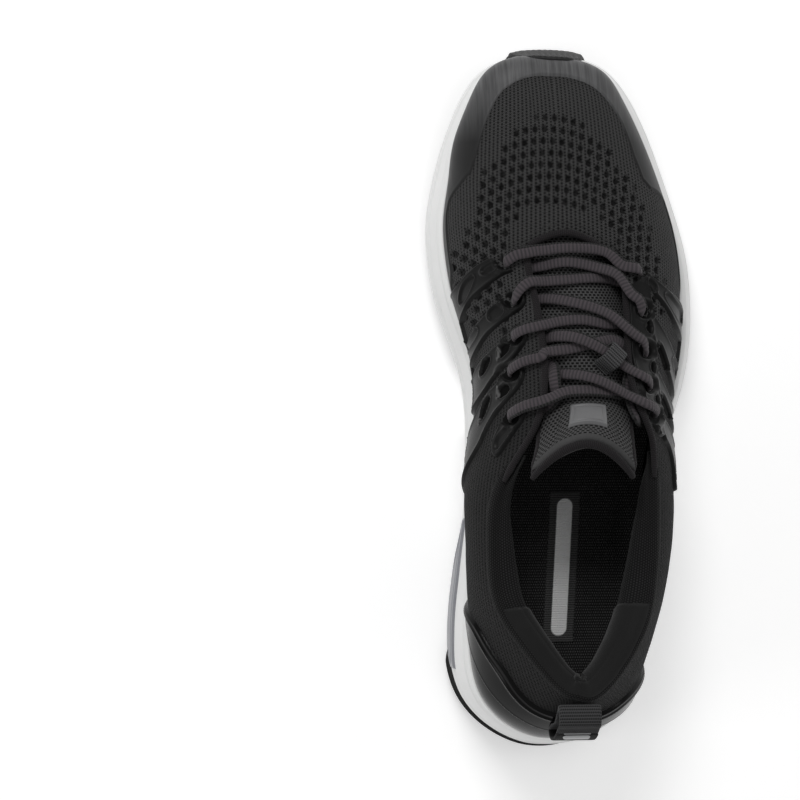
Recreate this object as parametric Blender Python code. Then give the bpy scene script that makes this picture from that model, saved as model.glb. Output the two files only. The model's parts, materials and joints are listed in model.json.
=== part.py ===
"""Right-foot golf shoe (spikeless), full size, in metres.

Axes: +Y is the toe, +X the outer (lateral) side, +Z up; the floor is z = 0.
All the design dimensions below are in millimetres and are turned into metres when the objects are made.
"""
import bpy
import bmesh
import math
import numpy as np

MM = 0.001
GAP = 0.3            # clearance between neighbouring pieces
KNIT = 2.0           # wall of the knitted upper
UPPER_INSET = 6.6    # how far the upper stands inside the midsole's widest line
OUTSOLE = 4.0        # rubber with its lugs
PLATE = 2.0          # rubber without its lugs
LACE_W, LACE_T = 5.0, 2.1
CENTRE = (8.38, 0.51)   # middle of the sole in plan, which becomes the origin
STRAP_W = 17.0       # heel pull loop

# Widest line of the midsole, counter-clockwise from the middle of the heel: lateral side, toe, medial side.
OUTLINE = [
    (3, -149.4), (12.5, -148.4), (23, -144.5), (33, -137.5), (39.9, -128), (43.8, -116), (46.3, -100), (47.8, -80),
    (49.4, -58), (51.0, -38), (54.2, -22), (58.7, -8), (62.8, 5), (65.5, 18), (66.7, 32), (66.5, 46), (64.5, 62),
    (60.2, 78), (55.0, 93), (48.8, 109), (42.2, 123), (35.4, 133.5), (27.5, 141.4), (17, 146.2), (0, 148.0),
    (-16.5, 146.2), (-27.0, 141.0), (-34.1, 132.2), (-39.4, 120.8), (-43.8, 107.9), (-47.5, 93), (-49.9, 76), (-48.9, 59),
    (-46.2, 44), (-41.8, 30), (-37.0, 16), (-34.0, 3), (-32.6, -14), (-32.6, -32), (-33.4, -50), (-35.9, -66),
    (-38.6, -84), (-39.8, -100), (-38.7, -116), (-34.9, -128), (-27.2, -138.2), (-17, -145.3), (-7, -148.8)]
SOLE_BOTTOM = [(-150, 9), (-140, 3.5), (-127, 0.5), (-112, 0), (60, 0), (80, 0.8), (100, 3), (120, 7), (135, 11.5), (150, 18)]
BITE_LINE = [(-150, 44), (-120, 42), (-80, 38.5), (-40, 34.5), (0, 31), (40, 28.5), (80, 28), (110, 30.5), (130, 34), (150, 39)]
FOOTBED = [(-150, 28), (-120, 25), (-60, 23.5), (0, 20), (50, 17), (90, 17), (120, 20), (150, 25)]

# Top line of the upper, one row for each station round the bite line:
# side, Y of the bite line there, top-line point, outward and upward pull at the bottom, pull at the top.
TOP_LINE = [
    ("H", -150, (4, -121, 97), (2, 16), (0, -6, -16)),
    ("L", -128, (19, -115, 94), (3, 14), (5, -3, -14)),
    ("L", -108, (31.5, -97, 88), (5, 13), (5, -3, -12)),
    ("L", -88, (37, -80, 82), (9, 13), (8, -1, -11)),
    ("L", -65, (39, -60, 78), (12.5, 13), (11, 0, -11)),
    ("L", -38, (39, -36, 79), (12.5, 13), (11.5, 0, -12)),
    ("L", -14, (36.5, -15, 85), (7.5, 12), (9.5, -1, -14)),
    ("L", 6, (30.5, 0, 85), (1.5, 12), (10.5, 0, -11)),
    ("L", 30, (28.5, 18, 77), (2, 13), (13, 3, -7)),
    ("L", 62, (29, 39, 69), (3, 15), (13, 5, -5)),
    ("L", 90, (28, 54, 62.5), (2, 15), (11, 9, -3)),
    ("L", 118, (22, 62, 61), (1, 16), (8, 18, -2)),
    ("L", 138, (13, 67.5, 62), (1, 15), (5, 25, -2.5)),
    ("T", 150, (3.5, 70, 63), (1, 14), (0, 30, -3)),
    ("M", 138, (-4, 68.5, 62.3), (4, 15), (-4, 25, -2.5)),
    ("M", 118, (-10, 65.5, 61.5), (7, 16), (-7, 18, -2.5)),
    ("M", 90, (-12.8, 58, 62), (5, 15), (-11, 8, -4)),
    ("M", 62, (-11.2, 45, 67.5), (2, 14), (-13, 5, -6)),
    ("M", 30, (-8.8, 25, 76), (4, 12), (-14, 2, -6)),
    ("M", 6, (-9, 3, 84), (10, 11), (-16, 0, -7)),
    ("M", -16, (-15, -15, 87), (17, 12), (-15.5, -1, -10)),
    ("M", -38, (-26, -36, 80.5), (18, 13), (-13, 0, -12)),
    ("M", -62, (-29, -61, 77.5), (13, 13), (-10, 0, -12)),
    ("M", -88, (-27, -84, 81.5), (7, 14), (-8, -1, -13)),
    ("M", -108, (-19.5, -98, 87), (3, 14), (-6, -4, -13)),
    ("M", -128, (-8, -113, 93), (2, 15), (-4, -5, -14)),
]
# Middle line of the tongue, toe end to top: x, y, z of its outer face, half width, side drop, side sweep towards the heel, thickness.
TONGUE = [
    (4, 80, 55.0, 17, 5.5, 0, 3.0), (5, 68, 58.0, 19, 7.0, 0, 3.2), (7, 56, 62.0, 21, 10.0, 0, 3.4), (8.5, 42, 68.8, 22.5, 13.0, 0, 3.6),
    (10, 25, 76.6, 23, 14.0, 0, 3.8), (10.5, 12, 81.6, 21.8, 14.0, 1, 4.2), (9.5, 2, 86.5, 20.5, 12.0, 3, 5.0), (8.6, -6, 93.5, 19.5, 8.5, 7, 6.0),
    (7.2, -12, 100.5, 20.5, 7.5, 11, 6.5), (5.5, -16.5, 106.5, 22.5, 8.0, 14.5, 6.0)]
TONGUE_HINGE = 6.15   # station where the padded top starts to swing
EYELETS_M = [(-20.9, 57), (-18.9, 41), (-18.6, 25.4), (-20.3, 10.4), (-21.5, -8)]
EYELETS_L = [(35, 54), (36, 36.6), (36, 20), (36.2, 5.5), (38.5, -7.5)]
EYELET_R = 3.35
# Channel under the arch and heel that parts the outsole: lateral wall and medial wall, x at each y.
CHANNEL_LAT = [(124, 4), (117, 12), (99, 20), (84, 23.5), (68, 25.5), (48, 24.5), (30, 21.5), (14, 20.5), (0, 22), (-20, 22.5),
               (-50, 22.5), (-67, 19.5), (-84, 17.5), (-104, 17), (-117, 13), (-122, 5)]
CHANNEL_MED = [(124, -6), (117, -14), (106, -16.5), (88, -16), (67, -12.5), (47, -8), (26, -0.5), (4, 6), (-7, 8), (-24, 12),
               (-40, 10), (-47, 7.5), (-63, 0), (-78, -8), (-91, -12.5), (-107, -12.5), (-117, -7.5), (-122, 1)]


def spline_table(rows, level=False):
    """Smooth curve through (key, value...) rows. With level it never runs past the rows between two keys."""
    a = np.array([np.hstack([np.atleast_1d(v) for v in r]) for r in rows], float)
    k, p = a[:, 0], a[:, 1:]
    d = np.gradient(p, k, axis=0)
    if level:
        m = np.diff(p, axis=0) / np.diff(k)[:, None]
        both = m[:-1] * m[1:]
        d[1:-1] = np.where(both > 0, 2 * both / np.where(both > 0, m[:-1] + m[1:], 1), 0)

    def f(x):
        x = np.clip(np.asarray(x, float), k[0], k[-1])
        i = np.clip(np.searchsorted(k, x, side="right") - 1, 0, len(k) - 2)
        h = (k[i + 1] - k[i])
        t = (x - k[i]) / h
        t, h = t[..., None], h[..., None]
        out = ((2 * t ** 3 - 3 * t ** 2 + 1) * p[i] + (t ** 3 - 2 * t ** 2 + t) * h * d[i]
               + (3 * t ** 2 - 2 * t ** 3) * p[i + 1] + (t ** 3 - t ** 2) * h * d[i + 1])
        return out[..., 0] if out.shape[-1] == 1 else out
    return f


class Loop:
    """Periodic cubic curve through points, with keys from 0 to 1."""

    def __init__(self, points, keys=None):
        p = np.array(points, float)
        n = len(p)
        if keys is None:
            seg = np.linalg.norm(np.roll(p, -1, 0) - p, axis=1)
            keys = np.concatenate([[0], np.cumsum(seg)])[:-1] / seg.sum()
        t = np.append(keys, keys[0] + 1)
        h = np.diff(t)
        m = np.zeros((n, n))
        r = np.zeros_like(p)
        for i in range(n):
            b, f = h[i - 1], h[i]
            m[i, (i - 1) % n] += b
            m[i, i] += 2 * (b + f)
            m[i, (i + 1) % n] += f
            r[i] = 6 * ((p[(i + 1) % n] - p[i]) / f - (p[i] - p[i - 1]) / b)
        self.t, self.h, self.p, self.m, self.n = t, h, p, np.linalg.solve(m, r), n

    def __call__(self, s):
        s = np.mod(np.asarray(s, float) - self.t[0], 1.0) + self.t[0]
        i = np.clip(np.searchsorted(self.t, s, side="right") - 1, 0, self.n - 1)
        j = (i + 1) % self.n
        h = self.h[i][..., None]
        a = (self.t[i + 1] - s)[..., None]
        b = (s - self.t[i])[..., None]
        return (self.m[i] * a ** 3 / (6 * h) + self.m[j] * b ** 3 / (6 * h)
                + (self.p[i] / h - self.m[i] * h / 6) * a + (self.p[j] / h - self.m[j] * h / 6) * b)


outline = Loop(OUTLINE)
sole_bottom = spline_table(SOLE_BOTTOM, True)
bite_line = spline_table(BITE_LINE, True)
footbed = spline_table(FOOTBED, True)
_S = np.linspace(0, 1, 4001)[:-1]
_O = outline(_S)
S_TOE = _S[np.argmax(_O[:, 1])]


def s_of(side, y):
    """Key of the outline where it passes this Y on the lateral (L) or medial (M) side."""
    if side == "H":
        return 0.0
    if side == "T":
        return S_TOE
    mask = (_S < S_TOE) if side == "L" else (_S > S_TOE)
    pick = np.where(mask)[0]
    return float(_S[pick[np.argmin(abs(_O[pick, 1] - y))]])


def inset(s, d):
    s = np.asarray(s, float)
    e = 1e-4
    t = outline(s + e) - outline(s - e)
    t /= np.linalg.norm(t, axis=-1, keepdims=True)
    n = np.stack([t[..., 1], -t[..., 0]], -1)
    return outline(s) - n * np.asarray(d, float)[..., None], n


def edge_inset(s):
    """How far the upper stands inside the widest line: further in where the midsole flares out beside the ball of the foot, less at the big toe."""
    s = np.asarray(s, float)
    lateral = np.mod(s, 1.0) < S_TOE
    o = outline(s)
    big_toe = 2.4 * np.exp(-((o[..., 1] - 126) / 26) ** 4) * np.clip(-o[..., 0] / 14, 0, 1)
    return UPPER_INSET + np.where(lateral, 2.6 * np.exp(-((o[..., 1] - 25) / 48) ** 4), -big_toe)


def profile(s, f):
    """Inset of the midsole's side from the widest line, f being the height from the outsole (0) to the bite line (1)."""
    d = np.interp(f, [0, 0.07, 0.25, 0.5, 0.75, 0.93, 1.0], [3.0, 0.9, 0.0, 1.3, 3.2, 4.4, 5.2])
    k = np.minimum(edge_inset(s) / UPPER_INSET, 1.0)
    return d * (1 + (k - 1) * np.clip((np.asarray(f) - 0.25) / 0.75, 0, 1))


_keys = np.array([s_of(r[0], r[1]) for r in TOP_LINE])
_rows = np.array([list(r[2]) + list(r[3]) + list(r[4]) for r in TOP_LINE], float)
_order = np.argsort(_keys)
top_line = Loop(_rows[_order], _keys[_order])


def upper(s, v):
    """Outer face of the knitted upper: v is 0 at the bite line and 1 at the top line, and below 0 inside the midsole's cup."""
    s, v = np.broadcast_arrays(np.asarray(s, float), np.asarray(v, float))
    b2, n2 = inset(s, edge_inset(s))
    zb = bite_line(b2[..., 1]) - 0.2
    row = top_line(s)
    b = np.concatenate([b2, zb[..., None]], -1)
    n = np.concatenate([n2, np.zeros(s.shape + (1,))], -1)
    up = np.array([0, 0, 1.0])
    p1 = b + n * row[..., 3:4] + up * row[..., 4:5]
    top = row[..., 0:3]
    p2 = top + row[..., 5:8]
    t = np.clip(v, 0, 1)[..., None]
    p = b * (1 - t) ** 3 + 3 * p1 * t * (1 - t) ** 2 + 3 * p2 * t ** 2 * (1 - t) + top * t ** 3
    low = np.clip(-v, 0, 1)
    p[..., 2] -= low * (zb - footbed(b2[..., 1]) - GAP)
    return p


def upper_normal(s, v):
    s, v = np.broadcast_arrays(np.asarray(s, float), np.asarray(v, float))
    v = np.clip(v, 0.0, 1.0)
    e = 1e-3
    ds = upper(s + e, v) - upper(s - e, v)
    dv = upper(s, np.minimum(v + e, 1)) - upper(s, np.maximum(v - e, 0))
    n = np.cross(ds, dv)
    return n / np.linalg.norm(n, axis=-1, keepdims=True)


def skin(s, v, off):
    """Point at this distance outside the upper's outer face (inside when it is negative)."""
    n = upper_normal(s, v)
    low = np.clip(-np.broadcast_to(v, n.shape[:-1]) * 4, 0, 1)[..., None]
    flat = n * np.array([1, 1, 0])
    flat /= np.linalg.norm(flat, axis=-1, keepdims=True)
    n = n * (1 - low) + flat * low
    return upper(s, v) + n * np.asarray(off, float)[..., None]


_gs, _gv = np.meshgrid(np.linspace(0, 1, 401)[:-1], np.linspace(0.3, 1, 36), indexing="ij")
_gp = upper(_gs, _gv).reshape(-1, 3)


def upper_at(x, y):
    """(s, v) of the upper above this plan position, for the part of it that faces up."""
    d = (_gp[:, 0] - x) ** 2 + (_gp[:, 1] - y) ** 2
    i = int(np.argmin(d))
    return float(_gs.reshape(-1)[i]), float(_gv.reshape(-1)[i])


tongue_line = spline_table([(i,) + r for i, r in enumerate(TONGUE)])


def tongue_face(a, b, off=0.0):
    """Outer face of the tongue: a from -1 (medial) to 1 (lateral), b along TONGUE's stations."""
    a, b = np.broadcast_arrays(np.asarray(a, float), np.asarray(b, float))
    r = tongue_line(b)
    x = r[..., 0] + a * r[..., 3]
    y = r[..., 1] - r[..., 5] * a ** 2
    z = r[..., 2] - r[..., 4] * a ** 2
    p = np.stack([x, y, z], -1)
    if np.all(np.asarray(off) == 0):
        return p
    e = 1e-3
    da = tongue_face(a + e, b) - tongue_face(a - e, b)
    db = tongue_face(a, b + e) - tongue_face(a, b - e)
    n = np.cross(da, -db)
    n /= np.linalg.norm(n, axis=-1, keepdims=True)
    n *= np.sign(n[..., 2:3] + 1e-9)
    return p + n * np.asarray(off, float)[..., None]


def tongue_at(x, y):
    g = np.linspace(0, len(TONGUE) - 1, 300)
    best = None
    for a in np.linspace(-1.1, 1.1, 45):
        p = tongue_face(a, g)
        d = (p[:, 0] - x) ** 2 + (p[:, 1] - y) ** 2
        i = int(np.argmin(d))
        if best is None or d[i] < best[0]:
            best = (d[i], float(a), float(g[i]))
    return best[1], best[2]


# ---------------------------------------------------------------- scene and materials
for old in list(bpy.data.objects):
    bpy.data.objects.remove(old, do_unlink=True)
shoe = bpy.data.collections.new("golf_shoe")
bpy.context.scene.collection.children.link(shoe)
cutters = bpy.data.collections.new("cutters")
cutters.hide_render = True
bpy.context.scene.collection.children.link(cutters)

MATERIALS = {
    "rubber": ((0.021, 0.021, 0.023), 0.62), "foam": ((0.80, 0.80, 0.79), 0.55), "tpu_grey": ((0.22, 0.22, 0.25), 0.35),
    "knit": ((0.036, 0.036, 0.038), 0.9), "film": ((0.026, 0.026, 0.027), 0.42), "cage": ((0.022, 0.022, 0.022), 0.38),
    "gloss": ((0.013, 0.013, 0.013), 0.2), "lining": ((0.012, 0.012, 0.012), 0.92), "suede": ((0.010, 0.010, 0.010), 0.97),
    "lace": ((0.065, 0.050, 0.058), 0.85), "binding": ((0.028, 0.024, 0.027), 0.85), "mesh": ((0.045, 0.044, 0.046), 0.88),
    "label": ((0.16, 0.16, 0.175), 0.45), "webbing": ((0.05, 0.05, 0.054), 0.8), "board": ((0.35, 0.33, 0.29), 0.9),
    "plate": ((0.05, 0.06, 0.07), 0.4), "insole": ((0.010, 0.010, 0.011), 0.95), "light": ((0.42, 0.43, 0.45), 0.5)}


def make(name, verts, faces, material, folder=None):
    mesh = bpy.data.meshes.new(name)
    mesh.from_pydata([((float(v[0]) - CENTRE[0]) * MM, (float(v[1]) - CENTRE[1]) * MM, float(v[2]) * MM) for v in verts], [], [list(f) for f in faces])
    mesh.validate()
    bm = bmesh.new()
    bm.from_mesh(mesh)
    bmesh.ops.remove_doubles(bm, verts=bm.verts, dist=1e-7)
    bmesh.ops.recalc_face_normals(bm, faces=bm.faces)
    bm.to_mesh(mesh)
    bm.free()
    obj = bpy.data.objects.new(name, mesh)
    (folder or shoe).objects.link(obj)
    if folder is not None:
        obj.hide_render = True
        obj.display_type = "WIRE"
    if material:
        mat = bpy.data.materials.new(name)
        mat.use_nodes = True
        shader = mat.node_tree.nodes["Principled BSDF"]
        colour, rough = MATERIALS[material]
        shader.inputs["Base Color"].default_value = colour + (1.0,)
        shader.inputs["Roughness"].default_value = rough
        shader.inputs["Metallic"].default_value = 0.0
        mat.diffuse_color = colour + (1.0,)
        mesh.materials.append(mat)
    return obj


def slab(name, outer, inner, material, keep=None, wrap=False, folder=None):
    """Closed solid between two grids of points of one shape. keep(i, j) leaves out cells, which makes windows."""
    nu, nv = outer.shape[:2]
    flat = np.concatenate([outer.reshape(-1, 3), inner.reshape(-1, 3)])
    base = nu * nv
    cells = {}
    for i in range(nu if wrap else nu - 1):
        for j in range(nv - 1):
            if keep is None or keep(i, j):
                cells[i, j] = True
    faces = []
    edges = {}
    for i, j in cells:
        i2 = (i + 1) % nu
        q = [i * nv + j, i2 * nv + j, i2 * nv + j + 1, i * nv + j + 1]
        faces.append(q)
        faces.append([base + k for k in reversed(q)])
        for k in range(4):
            e = (q[k], q[(k + 1) % 4])
            if (e[1], e[0]) in edges:
                del edges[e[1], e[0]]
            else:
                edges[e] = True
    for a, b in edges:
        faces.append([b, a, base + a, base + b])
    used = sorted({k for f in faces for k in f})
    where = {k: n for n, k in enumerate(used)}
    return make(name, flat[used], [[where[k] for k in f] for f in faces], material, folder)


def rings(name, loops, material, folder=None, striped=False):
    """Closed solid through rings of the same number of points."""
    loops = np.asarray(loops, float)
    k, n = loops.shape[:2]
    verts = loops.reshape(-1, 3)
    faces = []
    for a in range(k - 1):
        for i in range(n):
            j = (i + 1) % n
            faces.append([a * n + i, a * n + j, (a + 1) * n + j, (a + 1) * n + i])
    def strips(base, turn):
        m = n // 2
        out = [[base, base + 1, base + n - 1]]
        out += [[base + i, base + i + 1, base + n - i - 1, base + n - i] for i in range(1, m - 1)]
        out.append([base + m - 1, base + m, base + m + 1])
        return [f[::-1] if turn else f for f in out]
    faces += strips(0, True) if striped else [[i for i in reversed(range(n))]]
    faces += strips((k - 1) * n, False) if striped else [[(k - 1) * n + i for i in range(n)]]
    return make(name, verts, faces, material, folder)


def level(s, d, z_of):
    """Ring at an inset from the outline, at the height that z_of gives for its Y."""
    p, _ = inset(s, np.broadcast_to(d, s.shape))
    return np.concatenate([p, z_of(p[:, 1])[:, None]], -1)


def mirrored_keys(ys):
    """Keys round the outline whose two sides pass the same Y, so that a cap can be laid across them in strips."""
    return np.array([0.0] + [s_of("L", y) for y in ys] + [S_TOE] + [s_of("M", y) for y in ys[::-1]])


def cut(obj, cutter, operation="DIFFERENCE"):
    mod = obj.modifiers.new(cutter.name, "BOOLEAN")
    mod.operation = operation
    mod.solver = "EXACT"
    mod.use_self = True
    mod.object = cutter


Y_ROWS = [-148.6, -146.5, -142, -135, -127, -118, -108, -97, -85, -72, -58, -44, -30, -16, -2, 12, 25, 38, 50, 62, 74, 86, 97, 107, 117, 126, 134, 140.5, 144.8, 146.6, 147.6]
S = mirrored_keys(Y_ROWS)
N = len(S)

# ---------------------------------------------------------------- midsole: one foam cup
loops = []
loops.append(level(S, 3.0, lambda y: sole_bottom(y) + OUTSOLE + 0.1))
for f in (0.07, 0.25, 0.5, 0.75, 0.93, 1.0):
    p, _ = inset(S, profile(S, f))
    zb, zt = sole_bottom(p[:, 1]) + OUTSOLE, bite_line(p[:, 1])
    loops.append(np.concatenate([p, (zb + (zt - zb) * f)[:, None]], -1))
loops.append(level(S, edge_inset(S) - 0.5, bite_line))
loops.append(level(S, edge_inset(S) - 0.5, footbed))
midsole = rings("midsole", loops, "foam", striped=True)

# Channel in the foam between the two lobes of the outsole
lat, med = spline_table(CHANNEL_LAT[::-1]), spline_table(CHANNEL_MED[::-1])
ys = np.linspace(-121, 123, 34)
grid_low, grid_high = [], []
for y in ys:
    a, b = float(med(y)), float(lat(y))
    t = np.array([0, 0.25, 0.5, 0.75, 1.0])
    lo = np.stack([a + 0.3 + (b - a - 0.6) * t, np.full(5, y), np.full(5, float(sole_bottom(y)) - 2)], -1)
    w = min(3.0, (b - a) * 0.3)
    hi = np.stack([a + w + (b - a - 2 * w) * t, np.full(5, y), np.full(5, float(sole_bottom(y)) + OUTSOLE + 4.5)], -1)
    grid_low.append(lo)
    grid_high.append(hi)
cut(midsole, slab("channel_cutter", np.array(grid_low), np.array(grid_high), None, folder=cutters))


# ---------------------------------------------------------------- outsole: two U-shaped rubber pieces
def ribbon(s_from, s_to, wall, inner_of):
    """Plan ribbon between the outline and the channel wall, with a low wall up the outside of the foam."""
    keys = np.concatenate([S, S + 1])
    s = keys[(keys >= s_from) & (keys <= s_to)]
    count = len(s)
    out_pts, in_pts = [], []
    for k, sk in enumerate(s):
        o, n = inset(sk, 1.6)
        c = np.array(inner_of(k / (count - 1)))
        h = wall(float(sk))
        low, high = [], []
        for t in (0.0, 0.33, 0.66, 1.0):
            q = c + (o - c) * t
            zb = float(sole_bottom(q[1]))
            low.append([q[0], q[1], zb + (0.9 if t == 1.0 else 0.0)])
            high.append([q[0], q[1], zb + OUTSOLE - 0.7])
        zt = float(bite_line(o[1]))
        for f in (0.2, 0.45, 0.72, 1.0):
            zz = float(sole_bottom(o[1])) + OUTSOLE + h * f
            ff = (zz - float(sole_bottom(o[1])) - OUTSOLE) / (zt - float(sole_bottom(o[1])) - OUTSOLE)
            d = float(profile(sk, ff))
            qo, _ = inset(sk, d - 2.0 - 0.03 * h)
            qi, _ = inset(sk, d - 0.9 - 0.03 * h)
            low.append([qo[0], qo[1], zz - 0.6 * (1 - f)])
            high.append([qi[0], qi[1], zz if f == 1.0 else zz + 0.3])
        out_pts.append(low)
        in_pts.append(high)
    return np.array(out_pts), np.array(in_pts)


def channel_path(points):
    p = np.array(points, float)
    seg = np.concatenate([[0], np.cumsum(np.linalg.norm(np.diff(p, axis=0), axis=1))])
    return lambda f: [float(np.interp(f * seg[-1], seg, p[:, 0])), float(np.interp(f * seg[-1], seg, p[:, 1]))]


front_inner = channel_path([(23.2, 0)] + [(x + 0.9, y) for y, x in CHANNEL_LAT[::-1] if 5 < y < 122] + [(-1, 125.5)]
                           + [(x - 0.9, y) for y, x in CHANNEL_MED if 5 < y < 122] + [(0.5, 5)])
lo, hi = ribbon(s_of("L", -3), s_of("M", 9), lambda s: 1.2 + 20 * math.exp(-((s - S_TOE) / 0.032) ** 4), front_inner)
slab("outsole_forefoot", lo, hi, "rubber")
rear_inner = channel_path([(7.0, -9), (10.6, -24), (8.6, -40), (6.2, -47), (-1.2, -63), (-9.2, -78), (-13.5, -91), (-13.5, -107),
                           (-8.3, -118), (4, -124), (14, -117.5), (18, -104), (18.6, -84), (20.6, -67), (23.6, -52)])
lo, hi = ribbon(s_of("M", -14), 1 + s_of("L", -56), lambda s: 1.2, rear_inner)
slab("outsole_heel", lo, hi, "rubber")

# Grey stabiliser band on the medial side of the heel
s = np.linspace(s_of("M", -66), s_of("M", -113), 12)
f = np.linspace(0.22, 0.62, 4)
edge = np.interp(np.linspace(0, 1, 12), [0, 0.25, 0.8, 1], [0.35, 1, 1, 0.45])
a, b = np.meshgrid(s, f, indexing="ij")
mid = 0.42
ff = mid + (b - mid) * edge[:, None]
d = np.interp(ff, [0, 0.07, 0.25, 0.5, 0.75], [3.0, 0.9, 0.0, 1.3, 3.2])
po, _ = inset(a, d - 1.9)
pi_, _ = inset(a, d - 0.5)
zz = lambda p: sole_bottom(p[..., 1]) + OUTSOLE + (bite_line(p[..., 1]) - sole_bottom(p[..., 1]) - OUTSOLE) * ff
slab("medial_stabilizer", np.concatenate([po, zz(po)[..., None]], -1), np.concatenate([pi_, zz(pi_)[..., None]], -1), "tpu_grey")

# ---------------------------------------------------------------- boards and insole inside the upper
inner_wall = edge_inset(S) + KNIT + 0.4


def sheet(name, d, z0, z1, material, s=S):
    return rings(name, [level(s, d, lambda y: footbed(y) + z0), level(s, d, lambda y: footbed(y) + z1)], material, striped=True)


sheet("strobel_board", inner_wall + 0.3, 2.4, 3.4, "board")
sheet("insole", inner_wall + 0.6, 4.0, 8.0, "insole")
xs = np.array([-9.0, 0, 9])
ys = np.linspace(-95, 35, 9)
gx, gy = np.meshgrid(xs, ys, indexing="xy")
gx = gx + 5
slab("shank_plate", np.stack([gx, gy, footbed(gy) + 1.6], -1), np.stack([gx, gy, footbed(gy) + 0.5], -1), "plate")


# ---------------------------------------------------------------- knitted upper: vamp and two quarters
def knit_piece(name, s0, s1, nu, material="knit", v0=-1.0, outer=0.0, inner=-KNIT, rows=(-1.0, -0.25, 0.0, 0.1, 0.2, 0.3, 0.4, 0.5, 0.6, 0.7, 0.8, 0.9, 1.0)):
    s = np.linspace(s0, s1, nu)
    a, b = np.meshgrid(s, np.array(rows), indexing="ij")
    return slab(name, skin(a, b, np.full(a.shape, outer)), skin(a, b, np.full(a.shape, inner)), material)


SEAM = 0.0012
S_L, S_M = s_of("L", 93), s_of("M", 93)
vamp = knit_piece("vamp_knit", S_L + SEAM, S_M - SEAM, 20)
quarter_l = knit_piece("quarter_lateral", SEAM * 0.5, S_L - SEAM * 0.5, 24)
quarter_m = knit_piece("quarter_medial", S_M + SEAM * 0.5, 1 - SEAM * 0.5, 24)


# ---------------------------------------------------------------- overlays that follow the upper
def overlay(name, s_lo, s_hi, v_lo, v_hi, nu, nv, material, thick=1.1, keep=None, gap=0.4):
    """Patch of the upper: s limits as functions of height (0 bottom to 1 top), v limits as functions of the way along."""
    a, b = np.meshgrid(np.linspace(0, 1, nu), np.linspace(0, 1, nv), indexing="ij")
    v = v_lo(a) + (v_hi(a) - v_lo(a)) * b
    s = s_lo(b) + (s_hi(b) - s_lo(b)) * a
    one = np.full(a.shape, 1.0)
    return slab(name, skin(s, v, one * (gap + thick)), skin(s, v, one * gap), material, keep)


def steps(*pairs):
    x, y = zip(*pairs)
    return lambda a: np.interp(a, x, y)


sides = lambda x: (lambda b: x + 0 * b)
toe_cap = overlay("toe_cap_film", sides(s_of("L", 62)), sides(s_of("M", 48)), steps((0, 0.05), (1, 0.05)),
                  steps((0, 0.09), (0.06, 0.12), (0.12, 0.26), (0.3, 0.36), (0.48, 0.27), (0.66, 0.36), (0.8, 0.28), (0.88, 0.12), (1, 0.11)),
                  28, 4, "film", 0.9, None, 0.6)
window = {(2, 3), (3, 3), (6, 3), (7, 3), (10, 3), (11, 3), (2, 5), (3, 5), (6, 5), (7, 5), (10, 5), (11, 5)}
cage_m = overlay("cage_medial", lambda b: s_of("M", 44) + (s_of("M", 84) - s_of("M", 44)) * b, lambda b: s_of("M", -34) + (s_of("M", -6) - s_of("M", -34)) * b,
                 steps((0, 0.05), (1, 0.05)), steps((0, 0.93), (1, 0.93)), 15, 9, "cage", 1.1, lambda i, j: (i, j) not in window, 0.8)
cage_l = overlay("cage_lateral", lambda b: s_of("L", -42) + (s_of("L", -8) - s_of("L", -42)) * b, lambda b: s_of("L", 58) + (s_of("L", 91) - s_of("L", 58)) * b,
                 steps((0, 0.05), (1, 0.05)), steps((0, 0.93), (1, 0.93)), 15, 9, "cage", 1.3, lambda i, j: (i, j) not in window)
counter = overlay("heel_counter", sides(s_of("M", -84)), sides(1 + s_of("L", -96)), steps((0, 0.05), (1, 0.05)),
                  steps((0, 0.06), (0.12, 0.22), (0.3, 0.42), (0.5, 0.6), (0.62, 0.58), (0.8, 0.34), (1, 0.06)), 26, 5, "gloss", 1.5)


def eyelet_cutter(name, spots, radius):
    verts, faces = [], []
    for x, y in spots:
        s, v = upper_at(x, y)
        c, n = upper(s, v), upper_normal(s, v)
        a = np.cross(n, [0, 1.0, 0.0])
        a /= np.linalg.norm(a)
        b = np.cross(n, a)
        k = len(verts)
        m = 12
        for h in (-5.0, 6.0):
            for i in range(m):
                t = 2 * math.pi * i / m
                verts.append(c + n * h + a * math.cos(t) * radius + b * math.sin(t) * radius)
        faces += [[k + i, k + (i + 1) % m, k + m + (i + 1) % m, k + m + i] for i in range(m)]
        faces += [[k + i for i in reversed(range(m))], [k + m + i for i in range(m)]]
    return make(name, verts, faces, None, cutters)


cut(quarter_m, eyelet_cutter("eyelets_medial", EYELETS_M, EYELET_R))
cut(quarter_l, eyelet_cutter("eyelets_lateral", EYELETS_L, EYELET_R))
cut(cage_m, eyelet_cutter("cage_eyelets_medial", EYELETS_M, EYELET_R + 1.2))
cut(cage_l, eyelet_cutter("cage_eyelets_lateral", EYELETS_L, EYELET_R + 0.7))

# ---------------------------------------------------------------- hidden stiffeners inside the knit
inside = lambda name, s0, s1, v_hi, nu, nv, mat, near, far: slab(
    name, *(lambda a, b: (skin(a, b, np.full(a.shape, near)), skin(a, b, np.full(a.shape, far))))(
        *(lambda aa, bb: (s0 + (s1 - s0) * aa, 0.02 + (v_hi(aa) - 0.02) * bb))(*np.meshgrid(np.linspace(0, 1, nu), np.linspace(0, 1, nv), indexing="ij"))), mat)
inside("toe_puff", s_of("L", 118), s_of("M", 118), steps((0, 0.1), (0.5, 0.2), (1, 0.1)), 10, 3, "board", -KNIT - 0.8, -KNIT - 1.7)
inside("heel_stiffener", s_of("M", -86), 1 + s_of("L", -86), steps((0, 0.2), (0.5, 0.3), (1, 0.2)), 14, 3, "board", -KNIT - 0.6, -KNIT - 1.9)


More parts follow.
